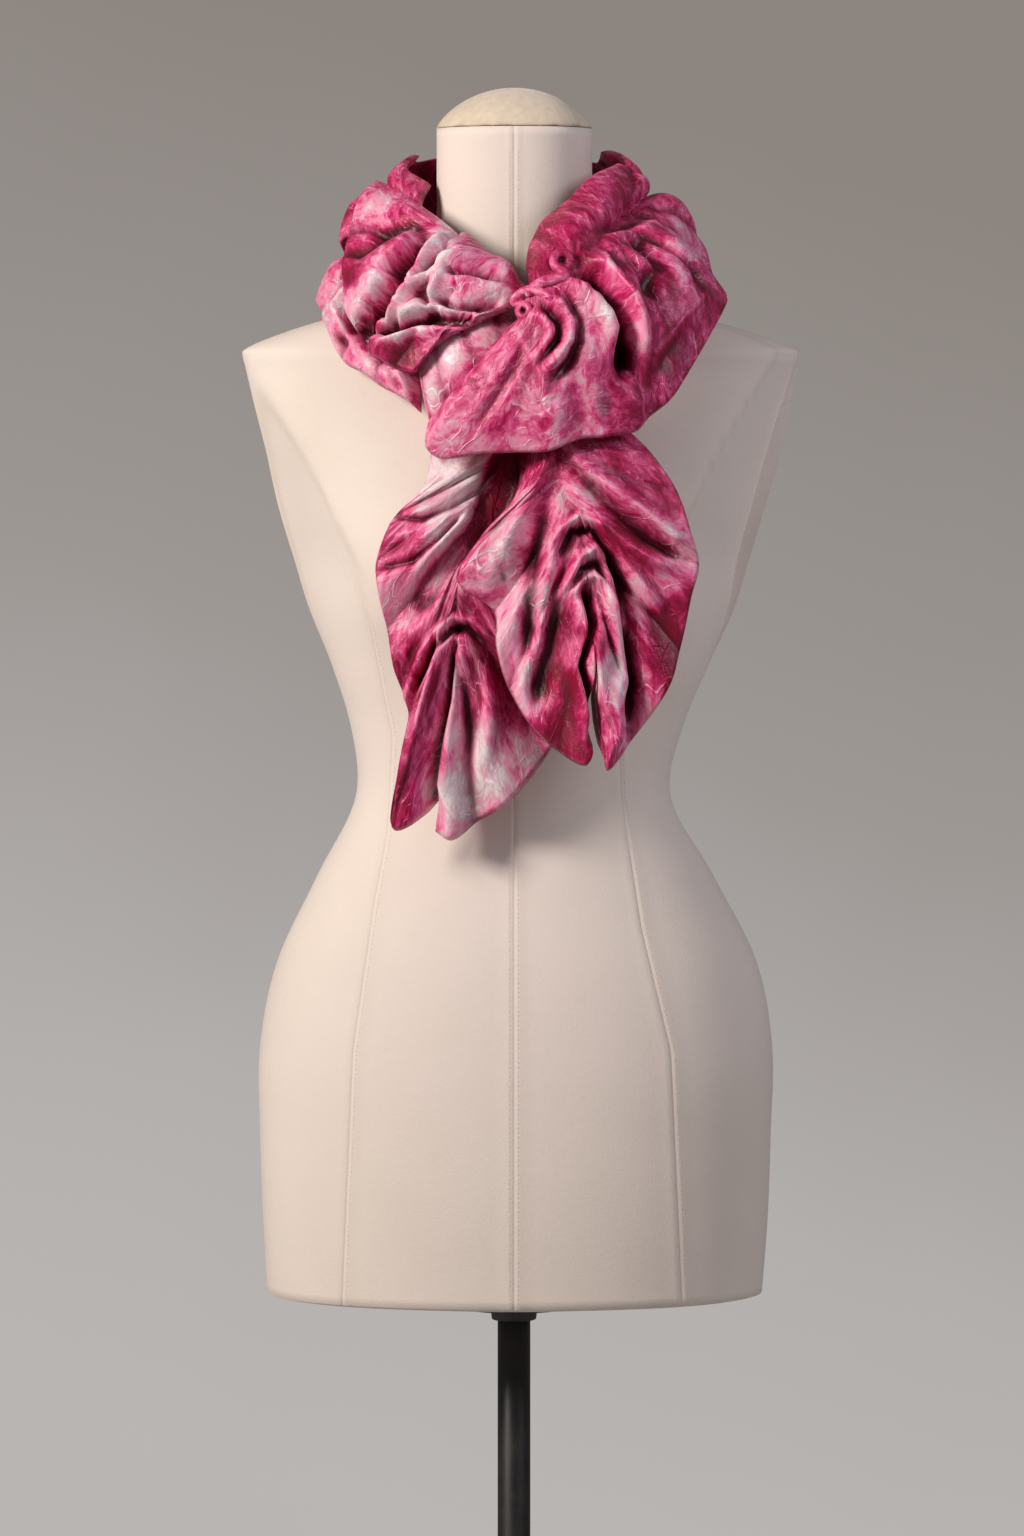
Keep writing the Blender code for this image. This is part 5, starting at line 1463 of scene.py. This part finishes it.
class SCARF_OT_throat(bpy.types.Operator):
    """Builds the pleated bundle of layers that passes through the loop"""
    bl_idname = "scarf.throat"
    bl_label = "Bundle inside the loop"

    def execute(self, context):
        steps, sides = 90, 150
        u = np.linspace(0, 1, steps)
        ats = np.linspace(0, 1, len(THROAT_PATH))
        centre = curve(ats, world(THROAT_PATH), u)
        wide, deep = (curve(ats, np.array(halves, dtype=float), u) * MM
                      for halves in (THROAT_HALF_WIDTHS, THROAT_HALF_DEPTHS))
        away = outward(centre)
        heading = unit(np.gradient(centre, axis=0))
        away = unit(away - dot(away, heading) * heading)
        side = np.cross(away, heading)
        turn = np.linspace(0, 2 * np.pi, sides, endpoint=False)
        field = wander((steps, sides + 1), (7, 16), 5)
        soft = field[:, :-1] + (field[:, :1] - field[:, :-1]) * np.exp(
            -np.minimum(turn, 2 * np.pi - turn) / 0.3)
        pleat = np.abs(np.cos(4.5 * turn[None, :] + 0.9 * np.sin(2.5 * u)[:, None] + 0.5 * soft))
        swell = 0.94 + 0.05 * pleat ** 0.8 + 0.03 * soft
        skins = []
        for shrink in (0.0, 0.0016):
            across = (wide[:, None] * swell - shrink) * np.cos(turn)
            forward = (deep[:, None] * swell - shrink) * np.sin(turn)
            skins.append(centre[:, None] + side[:, None] * across[..., None]
                         + away[:, None] * forward[..., None])
        size = steps * sides
        *outer, first, last = ring_faces(steps, sides)
        faces = outer + [[k + size for k in quad[::-1]] for quad in outer]
        for ring in (first, last[::-1]):
            faces += [[a, a + size, b + size, b] for a, b in zip(ring, ring[1:] + ring[:1])]
        made = mesh_object("scarf_throat_velvet", np.concatenate([s.reshape(-1, 3) for s in skins]),
                           faces, velvet())
        turned_out(made)
        flat = np.stack(np.broadcast_arrays(u[:, None] * 0.11, turn[None, :] / 6.283 * 0.2), -1)
        tone = dye_tone(skins[0], THROAT_STAINS, 0.5, 3).ravel()
        # painted shade in the pleats' troughs and painted highlight on their crests, given as fold depth
        give_pattern(made, np.tile(flat.reshape(-1, 2), (2, 1)) + 0.9, np.tile(tone, 2),
                     np.tile((0.4 - 0.8 * pleat).ravel(), 2))
        finish_piece(made, ["scarf_throat"])
        return {"FINISHED"}


class SCARF_OT_strands(bpy.types.Operator):
    """Builds the strands round the neck: under, top at the back, top at the left"""
    bl_idname = "scarf.strands"
    bl_label = "Strands round the neck"

    def execute(self, context):
        for key in ("under", "back", "left"):
            make_stretch(key)
        return {"FINISHED"}


class SCARF_OT_ends(bpy.types.Operator):
    """Builds the two hanging ends"""
    bl_idname = "scarf.ends"
    bl_label = "Hanging ends"

    def execute(self, context):
        for key in ("left_end", "right_end"):
            make_stretch(key)
        return {"FINISHED"}


def swept(path, radii, sides):
    """Rings of points along a path that lies nearly flat to the front."""
    heading = unit(np.gradient(path, axis=0))
    across = unit(np.cross(heading, np.array([0.0, -1.0, 0.0])))
    forward = np.cross(across, heading)
    turn = np.linspace(0, 2 * np.pi, sides, endpoint=False)[None, :, None]
    rings = path[:, None] + radii[:, None, None] * (
        across[:, None] * np.cos(turn) + forward[:, None] * np.sin(turn))
    return rings.reshape(-1, 3)


def rolled_curls(loop):
    """Rolls the two small curls of cloth where the gathering thread pulls tight."""
    tree = BVHTree.FromObject(loop, bpy.context.evaluated_depsgraph_get())
    verts, faces, sunk, sides = [], [], [], 20
    for curl in CURLS:
        turn = np.linspace(0, 2 * math.pi * curl.turns, 40)
        reach = curl.reach * (1 - 0.42 * turn / turn[-1])
        spin = curl.start - turn
        coil = np.stack([curl.x + reach * np.cos(spin), curl.high + reach * np.sin(spin)], 1)
        tail = np.array(curl.tail, dtype=float)
        rest = curve(np.linspace(0, 1, len(tail) + 1), np.vstack([tail, coil[:1]]),
                     np.linspace(0, 1, 26))[:-1]
        line = np.vstack([rest, coil])
        ends = np.linspace(0, 1, len(line))
        thick = curl.thick * (1 - 0.2 * ends) * np.minimum(1, 0.25 + np.sqrt(
            np.clip(12 * np.minimum(ends, 1 - ends), 0, 1)))
        found = []
        for number, (x, high) in enumerate(line):
            start = Vector((x * MM, -0.4, (high + DATUM) * MM))
            hit = tree.ray_cast(start, Vector((0, 1, 0)), 0.3)[0]
            if hit is not None:
                found.append((number, hit[1]))
        spots = np.interp(range(len(line)), *np.array(found).T)
        depth = np.convolve(np.pad(spots, 12, mode="edge"), np.ones(25) / 25, mode="valid")
        lift = (0.7 * curl.thick + 2.6 * ends) * MM
        path = np.stack([line[:, 0] * MM, depth - lift, (line[:, 1] + DATUM) * MM], 1)
        skin = swept(path, thick * MM, sides)
        done = sum(map(len, verts))
        faces += [[k + done for k in face] for face in ring_faces(len(path), sides)]
        verts.append(skin)
        # painted shade, darkest at each curl's centre where its hole is, and a little painted highlight
        # round its rim
        off = np.hypot(skin[:, 0] / MM - curl.x, skin[:, 2] / MM - DATUM - curl.high) / curl.reach
        sunk.append(np.clip(1.5 - 2.2 * off, -0.3, 1))
    skin = np.concatenate(verts)
    made = turned_out(mesh_object("scarf_gather_curls", skin, faces, velvet()))
    give_pattern(made, skin[:, [0, 2]], np.full(len(skin), 0.62), np.concatenate(sunk))
    finish_piece(made, [])
    return made


class SCARF_OT_loop(bpy.types.Operator):
    """Builds the folded middle of the scarf, the fan that the ends pass through"""
    bl_idname = "scarf.loop"
    bl_label = "Loop"

    def execute(self, context):
        make_stretch("loop", rolled_curls)
        return {"FINISHED"}


class SCARF_OT_stage(bpy.types.Operator):
    """Sets the pale floor, the grey room, soft studio lights and the camera"""
    bl_idname = "scarf.stage"
    bl_label = "Stage and camera"

    def execute(self, context):
        scene = context.scene
        settings = scene.scarf_stage
        turns = [2 * math.pi * k / 96 for k in range(96)]
        verts = [(2.4 * math.cos(turn), 2.4 * math.sin(turn), 0.0) for turn in turns]
        coat, add, finish = new_material("pale studio floor", "#C9C6C3")
        place = add("ShaderNodeTexCoord")["Object"]
        grain = add("ShaderNodeTexNoise", {"Vector": place, "Scale": 3.0, "Detail": 4.0})["Fac"]
        tint = add("ShaderNodeValToRGB", {"Fac": grain}, stops=((0.3, "#C4C1BE"), (0.7, "#CBC8C5")))
        reach = add("ShaderNodeVectorMath", {0: place}, operation="LENGTH")["Value"]
        solid = add("ShaderNodeMapRange", {
            "Value": reach, "From Min": 1.2, "From Max": 2.3, "To Min": 1.0, "To Max": 0.0},
            interpolation_type="SMOOTHSTEP")
        finish({"Base Color": tint["Color"], "Roughness": 0.75, "Alpha": solid["Result"]})
        mesh_object("studio_floor", verts, [list(range(96))], coat, False)

        room = bpy.data.worlds.new("studio room")
        scene.world = room
        room.use_nodes = True
        room.node_tree.nodes.clear()
        add = functools.partial(add_node, room.node_tree)
        direction = add("ShaderNodeTexCoord")["Generated"]
        ways = add("ShaderNodeSeparateXYZ", {"Vector": direction})
        # the room seen by the camera: painted falloff of light, darker towards the top and the upper right,
        # with a faint mottle
        up = add("ShaderNodeMath", {0: ways["X"], 1: 0.3, 2: ways["Z"]}, operation="MULTIPLY_ADD")[0]
        part = add("ShaderNodeMapRange", {"Value": up, "From Min": -0.158, "From Max": 0.065})["Result"]
        mottle = add("ShaderNodeTexNoise", {
            "Vector": direction, "Scale": 22.0, "Detail": 3.0, "Roughness": 0.55})["Fac"]
        uneven = add("ShaderNodeMath", {0: mottle, 1: 0.09, 2: part}, operation="MULTIPLY_ADD")[0]
        shade = add("ShaderNodeValToRGB", {"Fac": uneven}, stops=(
            (0.03, "#B9B6B4"), (0.28, "#B3AFAD"), (0.58, "#9E9895"), (1.0, "#8C8580")))["Color"]
        lit, seen = (
            add("ShaderNodeBackground", {"Color": colour, "Strength": strength})[0]
            for colour, strength in (((0.5, 0.49, 0.485, 1), settings.room), (shade, 1.0)))
        by_eye = add("ShaderNodeLightPath")["Is Camera Ray"]
        mixed = add("ShaderNodeMixShader", {0: by_eye, 1: lit, 2: seen})[0]
        add("ShaderNodeOutputWorld", {"Surface": mixed})

        for name, spot, size, power, colour in (
                ("key softbox", (-1.9, -1.5, 2.35), 0.75, settings.key_power, "#FFF8F1"),
                ("fill softbox", (1.9, -1.2, 2.6), 1.3, settings.fill_power, "#F2F2FF")):
            lamp = bpy.data.lights.new(name, "AREA")
            lamp.size = size
            lamp.energy = power
            lamp.color = hex_colour(colour)[:3]
            self.aimed(scene, name, lamp, spot, (0, 0, 1.3))
        camera = bpy.data.cameras.new("photo camera")
        camera.lens = 160.7
        camera.sensor_fit = "VERTICAL"
        camera.sensor_height = 36.0
        scene.camera = self.aimed(
            scene, "photo camera", camera, (-0.0014, -4.8, 1.381), (-0.0014, 0.0, 1.1559))
        scene.view_settings.view_transform = "Standard"
        return {"FINISHED"}

    @staticmethod
    def aimed(scene, name, data, spot, aim):
        """Places a lamp or the camera and points it."""
        holder = bpy.data.objects.new(name, data)
        scene.collection.objects.link(holder)
        holder.location = spot
        holder.rotation_euler = (Vector(aim) - Vector(spot)).to_track_quat("-Z", "Y").to_euler()
        return holder


class SCARF_PT_panel(bpy.types.Panel):
    """Lists the makers of every piece, in their order"""
    bl_label = "Velvet scarf"
    bl_space_type = "VIEW_3D"
    bl_region_type = "UI"
    bl_category = "Scarf"

    def draw(self, context):
        for group in ("scarf_sizes", "scarf_dye", "scarf_form", "scarf_stage"):
            box = self.layout.box()
            values = getattr(context.scene, group)
            for name in values.bl_rna.properties.keys():
                if name not in ("rna_type", "name"):
                    box.prop(values, name)
        for maker in OPERATORS:
            self.layout.operator(maker.bl_idname)


GROUPS = {
    "scarf_sizes": ScarfSizes, "scarf_dye": DyeColours,
    "scarf_form": FormSizes, "scarf_stage": StageSettings,
}
OPERATORS = (
    SCARF_OT_torso, SCARF_OT_neck_cap, SCARF_OT_stand, SCARF_OT_seam_stitches, SCARF_OT_throat,
    SCARF_OT_strands, SCARF_OT_ends, SCARF_OT_loop, SCARF_OT_stage,
)


def register():
    for item in (*GROUPS.values(), *OPERATORS, SCARF_PT_panel):
        bpy.utils.register_class(item)
    for name, group in GROUPS.items():
        setattr(bpy.types.Scene, name, bpy.props.PointerProperty(type=group))


def unregister():
    for name in GROUPS:
        delattr(bpy.types.Scene, name)
    for item in reversed((*GROUPS.values(), *OPERATORS, SCARF_PT_panel)):
        bpy.utils.unregister_class(item)


def main():
    register()
    for maker in OPERATORS:
        group, name = maker.bl_idname.split(".")
        getattr(getattr(bpy.ops, group), name)()


if __name__ == "__main__":
    main()
